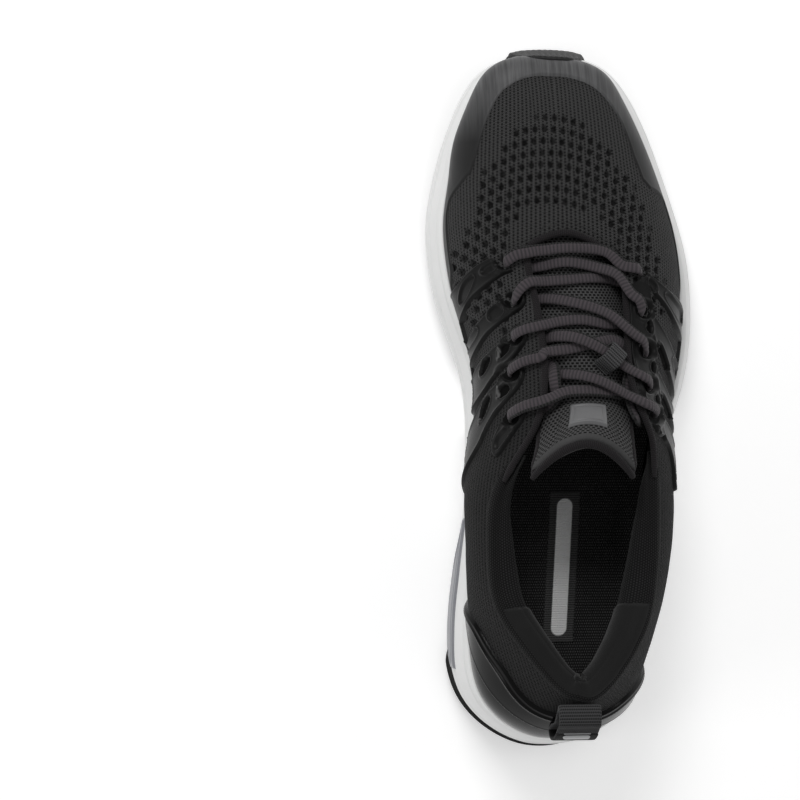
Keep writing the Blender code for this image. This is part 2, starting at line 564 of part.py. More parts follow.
# ---------------------------------------------------------------- padded collar and heel grips
def pad_section(s, thick, t):
    """Inner face of the collar pad, t from the bottom (0) over the crest to the top line (1)."""
    n = upper_normal(s, 0.8)
    n = n * np.array([1, 1, 0.25])
    n /= np.linalg.norm(n, axis=-1, keepdims=True)
    row = top_line(s)
    top = row[..., 0:3] - n * (KNIT + 1.0)
    up = np.array([0, 0, 1.0])
    q0 = skin(s, np.full(s.shape, 0.34), np.full(s.shape, -KNIT - 1.0))
    q1 = skin(s, np.full(s.shape, 0.6), -KNIT - thick * 1.25)
    q2 = top - n * (thick * 1.2)[..., None] + up * 9.0
    t = t[..., None]
    return q0 * (1 - t) ** 3 + 3 * q1 * t * (1 - t) ** 2 + 3 * q2 * t ** 2 * (1 - t) + top * t ** 3


def collar_pad(name, s0, s1, nu, flip=False):
    s = np.linspace(s0, s1, nu)
    w = np.linspace(0, 1, nu)
    if flip:
        w = w[::-1]
    thick = np.interp(w, [0, 0.1, 0.5, 0.85, 1], [2.2, 6.5, 9.0, 8.0, 6.0])
    t = np.linspace(0, 1, 7)
    a, b = np.meshgrid(s, t, indexing="ij")
    th = np.repeat(thick[:, None], len(t), 1)
    face = pad_section(a, th, b)
    back = skin(a, 0.34 + (0.97 - 0.34) * b, np.full(a.shape, -KNIT - 0.6))
    return slab(name, face, back, "lining")


S_CL, S_CM = s_of("L", -22), s_of("M", -24)
collar_pad("collar_pad_lateral", 0.002, S_CL, 17, flip=True)
collar_pad("collar_pad_medial", S_CM, 0.998, 17)


def heel_grip(name, s0, s1, nu, flip):
    s = np.linspace(s0, s1, nu)
    a, b = np.meshgrid(s, np.linspace(0.28, 0.8, 6), indexing="ij")
    full0, full1 = (0.002, S_CL) if flip else (S_CM, 0.998)
    w = (a - full0) / (full1 - full0)
    if flip:
        w = 1 - w
    th = np.interp(w, [0, 0.1, 0.5, 0.85, 1], [2.2, 6.5, 9.0, 8.0, 6.0])
    e = 1e-3
    p = pad_section(a, th, b)
    n = np.cross(pad_section(a + e, th, b) - pad_section(a - e, th, b), pad_section(a, th, b + e) - pad_section(a, th, b - e))
    n /= np.linalg.norm(n, axis=-1, keepdims=True)
    return slab(name, p - n * 1.5, p - n * 0.45, "suede")


heel_grip("heel_grip_lateral", 0.006, s_of("L", -112), 8, True)
heel_grip("heel_grip_medial", s_of("M", -112), 0.994, 8, False)


# ---------------------------------------------------------------- tongue
def tongue_piece(name, b0, b1, nb, material, top=0.0, bottom=None, a0=-1.0, a1=1.0, na=9):
    a, b = np.meshgrid(np.linspace(a0, a1, na), np.linspace(b0, b1, nb), indexing="ij")
    thick = tongue_line(b)[..., 6] * (1 - 0.55 * abs(a) ** 3)
    low = -thick if bottom is None else np.full(a.shape, bottom)
    return slab(name, tongue_face(a, b, np.full(a.shape, top + 1e-6)), tongue_face(a, b, low), material)


tongue_piece("tongue", 0.0, TONGUE_HINGE - 0.06, 15, "mesh")
tongue_piece("tongue_top", TONGUE_HINGE + 0.07, 8.72, 8, "mesh")
tongue_piece("tongue_label", 6.55, 7.9, 3, "label", 1.3, GAP, -0.37, 0.36, 4)


def tube(name, path, rx, ry, sides, material, ref):
    """Closed oval tube along a path; ref gives the direction of the thin side at each point."""
    p = np.array(path, float)
    t = np.gradient(p, axis=0)
    t /= np.linalg.norm(t, axis=1, keepdims=True)
    loops = []
    last = None
    for k in range(len(p)):
        r = np.array(ref[k], float)
        r = r - t[k] * (r @ t[k])
        r /= np.linalg.norm(r) + 1e-12
        if last is not None:
            c = last - t[k] * (last @ t[k])
            c /= np.linalg.norm(c) + 1e-12
            if c @ r < 0:
                r = -r
            r = c * 0.6 + r * 0.4
            r /= np.linalg.norm(r)
        last = r
        w = np.cross(t[k], r)
        ang = [2 * math.pi * (i + 0.5) / sides for i in range(sides)]
        loops.append([p[k] + w * rx * math.cos(x) + r * ry * math.sin(x) for x in ang])
    return rings(name, loops, material)


a = np.linspace(-1, 1, 19)
edge = tongue_face(a, np.full(19, 8.78), np.full(19, -2.6))
before = tongue_face(a, np.full(19, 8.5), np.full(19, -2.6))
out = (edge - before) / np.linalg.norm(edge - before, axis=1, keepdims=True)
path = edge + out * 3.0
tube("tongue_binding", path, 2.4, 2.4, 8, "binding", [[0, 0, 1.0]] * 19)

# ---------------------------------------------------------------- rolled binding along the front and sides of the throat
s = np.concatenate([np.linspace(s_of("L", 22), s_of("L", 100), 16)[:-1], np.linspace(s_of("L", 100), s_of("M", 100), 18)[:-1], np.linspace(s_of("M", 100), s_of("M", 22), 16)])
n = upper_normal(s, np.full(len(s), 0.97))
e = upper(s, np.full(len(s), 1.0)) - upper(s, np.full(len(s), 0.9))
e /= np.linalg.norm(e, axis=1, keepdims=True)
path = upper(s, np.full(len(s), 1.0)) + e * 1.35 - n * 0.8
tube("throat_binding", path, 0.95, 0.95, 6, "binding", n)


# ---------------------------------------------------------------- lace: one oval cord, through all ten eyelets
def over(x, y, h, tongue=False):
    if tongue:
        a, b = tongue_at(x, y)
        p = tongue_face(a, b)
        z = p[2]
        n = tongue_face(a, b, 1.0) - p
    else:
        s, v = upper_at(x, y)
        z = upper(s, v)[2]
        n = upper_normal(s, v)
    return np.array([x, y, z]) + np.array(n) * h, np.array(n)


def lace_path():
    pts = []

    def hole(k, side):
        x, y = (EYELETS_M if side < 0 else EYELETS_L)[k]
        s, v = upper_at(x, y)
        c, n = upper(s, v), upper_normal(s, v)
        sideways = np.array([side, 0.0, 0.0])
        stack = [(c + n * 3.7 - sideways * 2.4, n), (c - n * 0.2 - sideways * 0.4, sideways), (c - n * 3.9 - sideways * 2.2, n)]
        pts.extend(stack)

    return pts, hole


keys, hole = lace_path()
LT = LACE_T / 2


def tongue_pts(rows):
    for x, y, h in rows:
        p, n = over(x, y, h + LT, True)
        keys.append((p, n))


def edge_pt(x, y, h):
    s, v = upper_at(x, y)
    n = upper_normal(s, v)
    keys.append((upper(s, v) + n * h, n))


# end on the lateral side, tucked under the eyestay
tuck = lambda x, y: [(skin(np.array(upper_at(x, y)[0]), np.array(v), np.array(-4.4)), np.array([1.0, 0, 0.6])) for v in (0.62, 0.76, 0.9)]
edge = lambda x, y: keys.append((skin(*map(np.array, upper_at(x, y)), np.array(-3.7)), np.array(upper_normal(*upper_at(x, y)))))


def into(k, side, x, y):
    """Over the throat edge at x, y and down into eyelet k."""
    ex, ey = (EYELETS_M if side < 0 else EYELETS_L)[k]
    edge_pt(x, y, 3.7)
    edge_pt(x + (ex - x) * 0.45, y + (ey - y) * 0.45, 4.1)
    hole(k, side)


def out_of(k, side, x, y):
    """Up through eyelet k from below and back over the throat edge at x, y."""
    ex, ey = (EYELETS_M if side < 0 else EYELETS_L)[k]
    hole(k, side)
    keys[-3:] = keys[-3:][::-1]
    edge_pt(x + (ex - x) * 0.45, y + (ey - y) * 0.45, 3.7)
    edge_pt(x, y, 3.4)


keys += tuck(34.0, 13.0)
tongue_pts([(26.0, 11.0, 1.2), (25.0, 6.5, 1.2), (25.5, 1.5, 1.2)])
edge(32.0, -4.0)
# Row 8: R5 over the lateral edge to the medial edge
out_of(4, 1, 31.5, -2.5)
tongue_pts([(22.0, 2.5, 5.0), (11.0, 9.2, 4.6), (3.0, 11.8, 2.6), (-4.0, 11.8, 0.8)])
edge(-11.5, 11.0)
# Row 7: L4 to the lateral edge, under row 6
out_of(3, -1, -11.0, 16.2)
edge_pt(-8.3, 18.0, 3.6)
tongue_pts([(-3.0, 20.0, 6.8), (4.0, 22.6, 2.0), (13.0, 25.2, 1.2), (22.0, 26.4, 0.9)])
edge(31.0, 23.6)
# Row 4: R3 to the medial edge
out_of(2, 1, 30.5, 26.5)
tongue_pts([(18.0, 35.5, 4.6), (5.0, 41.5, 3.0), (-4.5, 43.6, 1.4)])
edge(-12.6, 43.5)
# Row 3: L2 to the lateral edge, under row 2
out_of(1, -1, -12.0, 48.0)
tongue_pts([(-3.5, 50.2, 3.4), (4.0, 51.5, 1.4), (14.0, 52.3, 1.2), (22.0, 52.2, 0.8)])
edge(30.6, 52.8)
# Row 1: straight bar at the toe end, R1 to L1
out_of(0, 1, 28.0, 57.5)
tongue_pts([(18.0, 61.8, 6.0), (6.0, 63.8, 5.8), (-4.0, 63.3, 5.8)])
into(0, -1, -13.0, 61.0)
# Row 2: from under the medial edge to R2
edge(-13.8, 57.0)
tongue_pts([(-5.0, 57.6, 1.4), (4.0, 58.6, 3.2), (15.0, 55.8, 3.8), (21.0, 51.5, 6.6)])
into(1, 1, 30.0, 44.0)
# Row 5: from under the lateral edge to L3, under row 4
edge(31.0, 35.5)
tongue_pts([(23.5, 33.4, 0.8), (18.0, 33.0, 1.2), (9.0, 34.6, 1.3), (-1.0, 33.0, 3.4)])
into(2, -1, -10.5, 30.0)
# Row 6: from under the medial edge, over row 7 and through the keeper to R4
edge(-11.6, 26.5)
tongue_pts([(-5.0, 27.0, 0.9), (0.0, 27.4, 3.4), (7.0, 25.6, 5.2), (16.0, 20.3, 4.6), (23.0, 14.3, 4.6)])
into(3, 1, 30.0, 9.5)
# Row 9: from under the lateral edge to L5, under row 8
keys.append((skin(*map(np.array, upper_at(31.0, 3.6)), np.array(-3.3)), np.array(upper_normal(*upper_at(31.0, 3.6)))))
tongue_pts([(27.5, 4.2, 1.5), (21.0, 4.2, 1.5), (10.0, 4.8, 1.6), (1.0, 2.8, 3.6)])
into(4, -1, -10.5, -1.5)
# end on the medial side
keys.append((skin(*map(np.array, upper_at(-14.8, -5.0)), np.array(-4.3)), np.array(upper_normal(*upper_at(-14.8, -5.0)))))
tongue_pts([(-2.2, 3.0, 1.2), (-1.2, 7.0, 3.8), (-1.2, 12.0, 4.0), (-3.0, 16.0, 0.9)])
edge(-12.0, 19.0)
keys += tuck(-14.0, 18.5)[::-1]


def smooth_path(keys, step=3.6):
    p = np.array([k[0] for k in keys], float)
    n = np.array([k[1] for k in keys], float)
    seg = np.linalg.norm(np.diff(p, axis=0), axis=1) ** 0.5
    t = np.concatenate([[0], np.cumsum(seg)])
    d = np.zeros_like(p)
    for i in range(1, len(p) - 1):
        a, b = t[i] - t[i - 1], t[i + 1] - t[i]
        d[i] = ((p[i] - p[i - 1]) / a * b + (p[i + 1] - p[i]) / b * a) / (a + b)
    d[0], d[-1] = (p[1] - p[0]) / (t[1] - t[0]), (p[-1] - p[-2]) / (t[-1] - t[-2])
    out, ref = [], []
    for i in range(len(p) - 1):
        h = t[i + 1] - t[i]
        m = max(2, int(round(np.linalg.norm(p[i + 1] - p[i]) / step)))
        for x in np.arange(m) / m:
            out.append((2 * x ** 3 - 3 * x ** 2 + 1) * p[i] + (x ** 3 - 2 * x ** 2 + x) * h * d[i] + (3 * x ** 2 - 2 * x ** 3) * p[i + 1] + (x ** 3 - x ** 2) * h * d[i + 1])
            ref.append(n[i] * (1 - x) + n[i + 1] * x)
    out.append(p[-1])
    ref.append(n[-1])
    return np.array(out), np.array(ref)


path, ref = smooth_path(keys)
tube("lace", path, LACE_W / 2, LACE_T / 2, 6, "lace", ref)
LACE_LENGTH = float(np.linalg.norm(np.diff(path, axis=0), axis=1).sum())


def aglet(name, at, towards):
    a, b = np.array(at, float), np.array(towards, float)
    d = (b - a) / np.linalg.norm(b - a)
    pts = [a + d * (0.5 + 4.5 * k) for k in range(5)]
    tube(name, pts, 1.6, 1.6, 8, "gloss", [[0, 1.0, 0]] * 5)


for side, name, k, x, y in ((1, "aglet_lateral", 0, 34.0, 13.0), (-1, "aglet_medial", -1, -14.0, 18.5)):
    aglet(name, path[k], skin(np.array(upper_at(x, y)[0]), np.array(0.3), np.array(-8.5)))

# Webbing loop on the tongue that keeps the lace in the middle
ka, kb = tongue_at(18.4, 17.9)
c = tongue_face(ka, kb)
n = tongue_face(ka, kb, 1.0) - c
along = np.array([0.76, -0.65, 0.0])
along = along - n * (along @ n)
along /= np.linalg.norm(along)
across = np.cross(n, along)
half = []
for x in (-3.8, -1.3, 1.3, 3.8):
    half.append([(-4.7, 1.0), (-4.4, 7.4), (0, 8.8), (4.4, 7.4), (4.7, 1.0)])
outer_g = np.array([[c + across * q[0] + n * q[1] + along * x for q in row] for x, row in zip((-3.8, -1.3, 1.3, 3.8), half)])
inner_g = np.array([[c + across * q[0] * 0.82 + n * (q[1] - (0.0 if abs(q[0]) > 5 else 1.1)) + along * x for q in row] for x, row in zip((-3.8, -1.3, 1.3, 3.8), half)])
slab("lace_keeper", outer_g, inner_g, "webbing")

# ---------------------------------------------------------------- heel pull loop and its end tab
LOOP_X = (-4.3, 12.9)


def strap(name, outer_yz, inner_yz, x0, x1, material):
    verts, faces = [], []
    n = len(outer_yz)
    for x in (x0, x1):
        for y, z in outer_yz:
            verts.append((x, y, z))
        for y, z in inner_yz:
            verts.append((x, y, z))
    w = 2 * n
    for i in range(n):
        j = (i + 1) % n
        faces.append([i, j, w + j, w + i])
        faces.append([n + i, w + n + i, w + n + j, n + j])
        faces.append([i, n + i, n + j, j])
        faces.append([w + i, w + j, w + n + j, w + n + i])
    return make(name, verts, faces, material)


outer_yz = [(-124.2, 98.6), (-127.5, 100.2), (-132.5, 99.4), (-138.5, 93.6), (-142.8, 85.5), (-144.6, 77.5), (-143.6, 71.2), (-140.6, 68.8),
            (-138.0, 72.3), (-135.4, 79.2), (-131.2, 87.0), (-126.6, 93.6)]
inner_yz = [(-126.7, 97.2), (-128.3, 98.7), (-131.8, 98.1), (-137.4, 92.8), (-141.5, 85.1), (-143.2, 77.7), (-142.4, 72.3), (-141.0, 71.2),
            (-139.3, 73.4), (-136.7, 79.8), (-132.5, 87.7), (-128.1, 94.0)]
strap("pull_loop", outer_yz, inner_yz, LOOP_X[0], LOOP_X[1], "webbing")
gx, gz = np.meshgrid(np.linspace(-1.2, 9.8, 3), np.linspace(72.4, 75.4, 2), indexing="ij")
tab_y = np.interp(gz, [71.2, 77.5], [-143.6, -144.6]) - 0.35
slab("pull_loop_label", np.stack([gx, tab_y - 0.7, gz], -1), np.stack([gx, tab_y, gz], -1), "light")
print("lace length mm", round(LACE_LENGTH, 1))
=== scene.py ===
"""Looks of the right-foot spikeless golf shoe: knitted upper, moulded cage, laces, padded collar and tongue, foam midsole and lugged outsole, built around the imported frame.

Design dimensions are in millimetres in the design frame, and CENTRE and MM bring them to the row frame in metres.
"""

import json
import math

import bpy
import numpy as np
from mathutils import Matrix, Vector

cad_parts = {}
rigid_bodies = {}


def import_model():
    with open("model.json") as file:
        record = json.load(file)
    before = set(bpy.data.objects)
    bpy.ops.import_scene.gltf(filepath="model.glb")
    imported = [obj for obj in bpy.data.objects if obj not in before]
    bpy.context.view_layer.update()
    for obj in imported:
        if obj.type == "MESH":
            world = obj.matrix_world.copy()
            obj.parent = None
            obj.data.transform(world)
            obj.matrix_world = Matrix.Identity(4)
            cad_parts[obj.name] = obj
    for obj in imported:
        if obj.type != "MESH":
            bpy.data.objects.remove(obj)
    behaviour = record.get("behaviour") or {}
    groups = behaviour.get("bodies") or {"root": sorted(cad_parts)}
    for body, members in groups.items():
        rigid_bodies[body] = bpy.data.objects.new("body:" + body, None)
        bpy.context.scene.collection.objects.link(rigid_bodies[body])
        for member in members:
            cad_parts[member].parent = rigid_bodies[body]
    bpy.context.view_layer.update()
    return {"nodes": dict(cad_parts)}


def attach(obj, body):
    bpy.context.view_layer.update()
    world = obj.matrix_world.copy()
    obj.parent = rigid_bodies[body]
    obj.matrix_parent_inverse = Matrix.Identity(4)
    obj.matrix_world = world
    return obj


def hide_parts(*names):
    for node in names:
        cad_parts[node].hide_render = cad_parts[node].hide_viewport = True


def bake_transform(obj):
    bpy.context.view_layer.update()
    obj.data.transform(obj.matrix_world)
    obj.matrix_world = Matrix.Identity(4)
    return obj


for old in list(bpy.data.objects):
    bpy.data.objects.remove(old, do_unlink=True)
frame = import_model()

MM = 0.001
GAP = 0.3            # clearance between neighbouring pieces
KNIT = 2.0           # wall of the knitted upper
UPPER_INSET = 6.6    # how far the upper stands inside the midsole's widest line
OUTSOLE = 4.0        # rubber with its lugs
PLATE = 2.0          # rubber without its lugs
LACE_W, LACE_T = 5.0, 2.1
CENTRE = (8.38, 0.51)   # middle of the sole in plan, which becomes the origin
STRAP_W = 17.0       # heel pull loop

# Widest line of the midsole, counter-clockwise from the middle of the heel: lateral side, toe, medial side.
OUTLINE = [
    (3, -149.4), (12.5, -148.4), (23, -144.5), (33, -137.5), (39.9, -128), (43.8, -116), (46.3, -100), (47.8, -80),
    (49.4, -58), (51.0, -38), (54.2, -22), (58.7, -8), (62.8, 5), (65.5, 18), (66.7, 32), (66.5, 46), (64.5, 62),
    (60.2, 78), (55.0, 93), (48.8, 109), (42.2, 123), (35.4, 133.5), (27.5, 141.4), (17, 146.2), (0, 148.0),
    (-16.5, 146.2), (-27.0, 141.0), (-34.1, 132.2), (-39.4, 120.8), (-43.8, 107.9), (-47.5, 93), (-49.9, 76), (-48.9, 59),
    (-46.2, 44), (-41.8, 30), (-37.0, 16), (-34.0, 3), (-32.6, -14), (-32.6, -32), (-33.4, -50), (-35.9, -66),
    (-38.6, -84), (-39.8, -100), (-38.7, -116), (-34.9, -128), (-27.2, -138.2), (-17, -145.3), (-7, -148.8)]
SOLE_BOTTOM = [(-150, 9), (-140, 3.5), (-127, 0.5), (-112, 0), (60, 0), (80, 0.8), (100, 3), (120, 7), (135, 11.5), (150, 18)]
BITE_LINE = [(-150, 44), (-120, 42), (-80, 38.5), (-40, 34.5), (0, 31), (40, 28.5), (80, 28), (110, 30.5), (130, 34), (150, 39)]
FOOTBED = [(-150, 28), (-120, 25), (-60, 23.5), (0, 20), (50, 17), (90, 17), (120, 20), (150, 25)]

# Top line of the upper, one row for each station round the bite line:
# side, Y of the bite line there, top-line point, outward and upward pull at the bottom, pull at the top.
TOP_LINE = [
    ("H", -150, (4, -121, 97), (2, 16), (0, -6, -16)),
    ("L", -128, (19, -115, 94), (3, 14), (5, -3, -14)),
    ("L", -108, (31.5, -97, 88), (5, 13), (5, -3, -12)),
    ("L", -88, (37, -80, 82), (9, 13), (8, -1, -11)),
    ("L", -65, (39, -60, 78), (12.5, 13), (11, 0, -11)),
    ("L", -38, (39, -36, 79), (12.5, 13), (11.5, 0, -12)),
    ("L", -14, (36.5, -15, 85), (7.5, 12), (9.5, -1, -14)),
    ("L", 6, (30.5, 0, 85), (1.5, 12), (10.5, 0, -11)),
    ("L", 30, (28.5, 18, 77), (2, 13), (13, 3, -7)),
    ("L", 62, (29, 39, 69), (3, 15), (13, 5, -5)),
    ("L", 90, (28, 54, 62.5), (2, 15), (11, 9, -3)),
    ("L", 118, (22, 62, 61), (1, 16), (8, 18, -2)),
    ("L", 138, (13, 67.5, 62), (1, 15), (5, 25, -2.5)),
    ("T", 150, (3.5, 70, 63), (1, 14), (0, 30, -3)),
    ("M", 138, (-4, 68.5, 62.3), (4, 15), (-4, 25, -2.5)),
    ("M", 118, (-10, 65.5, 61.5), (7, 16), (-7, 18, -2.5)),
    ("M", 90, (-12.8, 58, 62), (5, 15), (-11, 8, -4)),
    ("M", 62, (-11.2, 45, 67.5), (2, 14), (-13, 5, -6)),
    ("M", 30, (-8.8, 25, 76), (4, 12), (-14, 2, -6)),
    ("M", 6, (-9, 3, 84), (10, 11), (-16, 0, -7)),
    ("M", -16, (-15, -15, 87), (17, 12), (-15.5, -1, -10)),
    ("M", -38, (-26, -36, 80.5), (18, 13), (-13, 0, -12)),
    ("M", -62, (-29, -61, 77.5), (13, 13), (-10, 0, -12)),
    ("M", -88, (-27, -84, 81.5), (7, 14), (-8, -1, -13)),
    ("M", -108, (-19.5, -98, 87), (3, 14), (-6, -4, -13)),
    ("M", -128, (-8, -113, 93), (2, 15), (-4, -5, -14)),
]
# Middle line of the tongue, toe end to top: x, y, z of its outer face, half width, side drop, side sweep towards the heel, thickness.
TONGUE = [
    (4, 80, 55.0, 17, 5.5, 0, 3.0), (5, 68, 58.0, 19, 7.0, 0, 3.2), (7, 56, 62.0, 21, 10.0, 0, 3.4), (8.5, 42, 68.8, 22.5, 13.0, 0, 3.6),
    (10, 25, 76.6, 23, 14.0, 0, 3.8), (10.5, 12, 81.6, 21.8, 14.0, 1, 4.2), (9.5, 2, 86.5, 20.5, 12.0, 3, 5.0), (8.6, -6, 93.5, 19.5, 8.5, 7, 6.0),
    (7.2, -12, 100.5, 20.5, 7.5, 11, 6.5), (5.5, -16.5, 106.5, 22.5, 8.0, 14.5, 6.0)]
TONGUE_HINGE = 6.15   # station where the padded top starts to swing
EYELETS_M = [(-20.9, 57), (-18.9, 41), (-18.6, 25.4), (-20.3, 10.4), (-21.5, -8)]
EYELETS_L = [(35, 54), (36, 36.6), (36, 20), (36.2, 5.5), (38.5, -7.5)]
EYELET_R = 3.35
# Channel under the arch and heel that parts the outsole: lateral wall and medial wall, x at each y.
CHANNEL_LAT = [(124, 4), (117, 12), (99, 20), (84, 23.5), (68, 25.5), (48, 24.5), (30, 21.5), (14, 20.5), (0, 22), (-20, 22.5),
               (-50, 22.5), (-67, 19.5), (-84, 17.5), (-104, 17), (-117, 13), (-122, 5)]
CHANNEL_MED = [(124, -6), (117, -14), (106, -16.5), (88, -16), (67, -12.5), (47, -8), (26, -0.5), (4, 6), (-7, 8), (-24, 12),
               (-40, 10), (-47, 7.5), (-63, 0), (-78, -8), (-91, -12.5), (-107, -12.5), (-117, -7.5), (-122, 1)]


def spline_table(rows, level=False):
    """Smooth curve through (key, value...) rows. With level it never runs past the rows between two keys."""
    a = np.array([np.hstack([np.atleast_1d(v) for v in r]) for r in rows], float)
    k, p = a[:, 0], a[:, 1:]
    d = np.gradient(p, k, axis=0)
    if level:
        m = np.diff(p, axis=0) / np.diff(k)[:, None]
        both = m[:-1] * m[1:]
        d[1:-1] = np.where(both > 0, 2 * both / np.where(both > 0, m[:-1] + m[1:], 1), 0)

    def f(x):
        x = np.clip(np.asarray(x, float), k[0], k[-1])
        i = np.clip(np.searchsorted(k, x, side="right") - 1, 0, len(k) - 2)
        h = (k[i + 1] - k[i])
        t = (x - k[i]) / h
        t, h = t[..., None], h[..., None]
        out = ((2 * t ** 3 - 3 * t ** 2 + 1) * p[i] + (t ** 3 - 2 * t ** 2 + t) * h * d[i]
               + (3 * t ** 2 - 2 * t ** 3) * p[i + 1] + (t ** 3 - t ** 2) * h * d[i + 1])
        return out[..., 0] if out.shape[-1] == 1 else out
    return f


class Loop:
    """Periodic cubic curve through points, with keys from 0 to 1."""

    def __init__(self, points, keys=None):
        p = np.array(points, float)
        n = len(p)
        if keys is None:
            seg = np.linalg.norm(np.roll(p, -1, 0) - p, axis=1)
            keys = np.concatenate([[0], np.cumsum(seg)])[:-1] / seg.sum()
        t = np.append(keys, keys[0] + 1)
        h = np.diff(t)
        m = np.zeros((n, n))
        r = np.zeros_like(p)
        for i in range(n):
            b, f = h[i - 1], h[i]
            m[i, (i - 1) % n] += b
            m[i, i] += 2 * (b + f)
            m[i, (i + 1) % n] += f
            r[i] = 6 * ((p[(i + 1) % n] - p[i]) / f - (p[i] - p[i - 1]) / b)
        self.t, self.h, self.p, self.m, self.n = t, h, p, np.linalg.solve(m, r), n

    def __call__(self, s):
        s = np.mod(np.asarray(s, float) - self.t[0], 1.0) + self.t[0]
        i = np.clip(np.searchsorted(self.t, s, side="right") - 1, 0, self.n - 1)
        j = (i + 1) % self.n
        h = self.h[i][..., None]
        a = (self.t[i + 1] - s)[..., None]
        b = (s - self.t[i])[..., None]
        return (self.m[i] * a ** 3 / (6 * h) + self.m[j] * b ** 3 / (6 * h)
                + (self.p[i] / h - self.m[i] * h / 6) * a + (self.p[j] / h - self.m[j] * h / 6) * b)


outline = Loop(OUTLINE)
sole_bottom = spline_table(SOLE_BOTTOM, True)
bite_line = spline_table(BITE_LINE, True)
footbed = spline_table(FOOTBED, True)
_S = np.linspace(0, 1, 4001)[:-1]
_O = outline(_S)
S_TOE = _S[np.argmax(_O[:, 1])]


def s_of(side, y):
    """Key of the outline where it passes this Y on the lateral (L) or medial (M) side."""
    if side == "H":
        return 0.0
    if side == "T":
        return S_TOE
    mask = (_S < S_TOE) if side == "L" else (_S > S_TOE)
    pick = np.where(mask)[0]
    return float(_S[pick[np.argmin(abs(_O[pick, 1] - y))]])


def inset(s, d):
    s = np.asarray(s, float)
    e = 1e-4
    t = outline(s + e) - outline(s - e)
    t /= np.linalg.norm(t, axis=-1, keepdims=True)
    n = np.stack([t[..., 1], -t[..., 0]], -1)
    return outline(s) - n * np.asarray(d, float)[..., None], n


def edge_inset(s):
    """How far the upper stands inside the widest line: further in where the midsole flares out beside the ball of the foot, less at the big toe."""
    s = np.asarray(s, float)
    lateral = np.mod(s, 1.0) < S_TOE
    o = outline(s)
    big_toe = 2.4 * np.exp(-((o[..., 1] - 126) / 26) ** 4) * np.clip(-o[..., 0] / 14, 0, 1)
    return UPPER_INSET + np.where(lateral, 2.6 * np.exp(-((o[..., 1] - 25) / 48) ** 4), -big_toe)


def profile(s, f):
    """Inset of the midsole's side from the widest line, f being the height from the outsole (0) to the bite line (1)."""
    d = np.interp(f, [0, 0.07, 0.25, 0.5, 0.75, 0.93, 1.0], [3.0, 0.9, 0.0, 1.3, 3.2, 4.4, 5.2])
    k = np.minimum(edge_inset(s) / UPPER_INSET, 1.0)
    return d * (1 + (k - 1) * np.clip((np.asarray(f) - 0.25) / 0.75, 0, 1))


_keys = np.array([s_of(r[0], r[1]) for r in TOP_LINE])
_rows = np.array([list(r[2]) + list(r[3]) + list(r[4]) for r in TOP_LINE], float)
_order = np.argsort(_keys)
top_line = Loop(_rows[_order], _keys[_order])


def upper(s, v):
    """Outer face of the knitted upper: v is 0 at the bite line and 1 at the top line, and below 0 inside the midsole's cup."""
    s, v = np.broadcast_arrays(np.asarray(s, float), np.asarray(v, float))
    b2, n2 = inset(s, edge_inset(s))
    zb = bite_line(b2[..., 1]) - 0.2
    row = top_line(s)
    b = np.concatenate([b2, zb[..., None]], -1)
    n = np.concatenate([n2, np.zeros(s.shape + (1,))], -1)
    up = np.array([0, 0, 1.0])
    p1 = b + n * row[..., 3:4] + up * row[..., 4:5]
    top = row[..., 0:3]
    p2 = top + row[..., 5:8]
    t = np.clip(v, 0, 1)[..., None]
    p = b * (1 - t) ** 3 + 3 * p1 * t * (1 - t) ** 2 + 3 * p2 * t ** 2 * (1 - t) + top * t ** 3
    low = np.clip(-v, 0, 1)
    p[..., 2] -= low * (zb - footbed(b2[..., 1]) - GAP)
    return p


def upper_normal(s, v):
    s, v = np.broadcast_arrays(np.asarray(s, float), np.asarray(v, float))
    v = np.clip(v, 0.0, 1.0)
    e = 1e-3
    ds = upper(s + e, v) - upper(s - e, v)
    dv = upper(s, np.minimum(v + e, 1)) - upper(s, np.maximum(v - e, 0))
    n = np.cross(ds, dv)
    return n / np.linalg.norm(n, axis=-1, keepdims=True)


def skin(s, v, off):
    """Point at this distance outside the upper's outer face (inside when it is negative)."""
    n = upper_normal(s, v)
    low = np.clip(-np.broadcast_to(v, n.shape[:-1]) * 4, 0, 1)[..., None]
    flat = n * np.array([1, 1, 0])
    flat /= np.linalg.norm(flat, axis=-1, keepdims=True)
    n = n * (1 - low) + flat * low
    return upper(s, v) + n * np.asarray(off, float)[..., None]


_gs, _gv = np.meshgrid(np.linspace(0, 1, 401)[:-1], np.linspace(0.3, 1, 36), indexing="ij")
_gp = upper(_gs, _gv).reshape(-1, 3)


def upper_at(x, y):
    """(s, v) of the upper above this plan position, for the part of it that faces up."""
    d = (_gp[:, 0] - x) ** 2 + (_gp[:, 1] - y) ** 2
    i = int(np.argmin(d))
    return float(_gs.reshape(-1)[i]), float(_gv.reshape(-1)[i])


tongue_line = spline_table([(i,) + r for i, r in enumerate(TONGUE)])


def tongue_face(a, b, off=0.0):
    """Outer face of the tongue: a from -1 (medial) to 1 (lateral), b along TONGUE's stations."""
    a, b = np.broadcast_arrays(np.asarray(a, float), np.asarray(b, float))
    r = tongue_line(b)
    x = r[..., 0] + a * r[..., 3]
    y = r[..., 1] - r[..., 5] * a ** 2
    z = r[..., 2] - r[..., 4] * a ** 2
    p = np.stack([x, y, z], -1)
    if np.all(np.asarray(off) == 0):
        return p
    e = 1e-3
    da = tongue_face(a + e, b) - tongue_face(a - e, b)
    db = tongue_face(a, b + e) - tongue_face(a, b - e)
    n = np.cross(da, -db)
    n /= np.linalg.norm(n, axis=-1, keepdims=True)
    n *= np.sign(n[..., 2:3] + 1e-9)
    return p + n * np.asarray(off, float)[..., None]


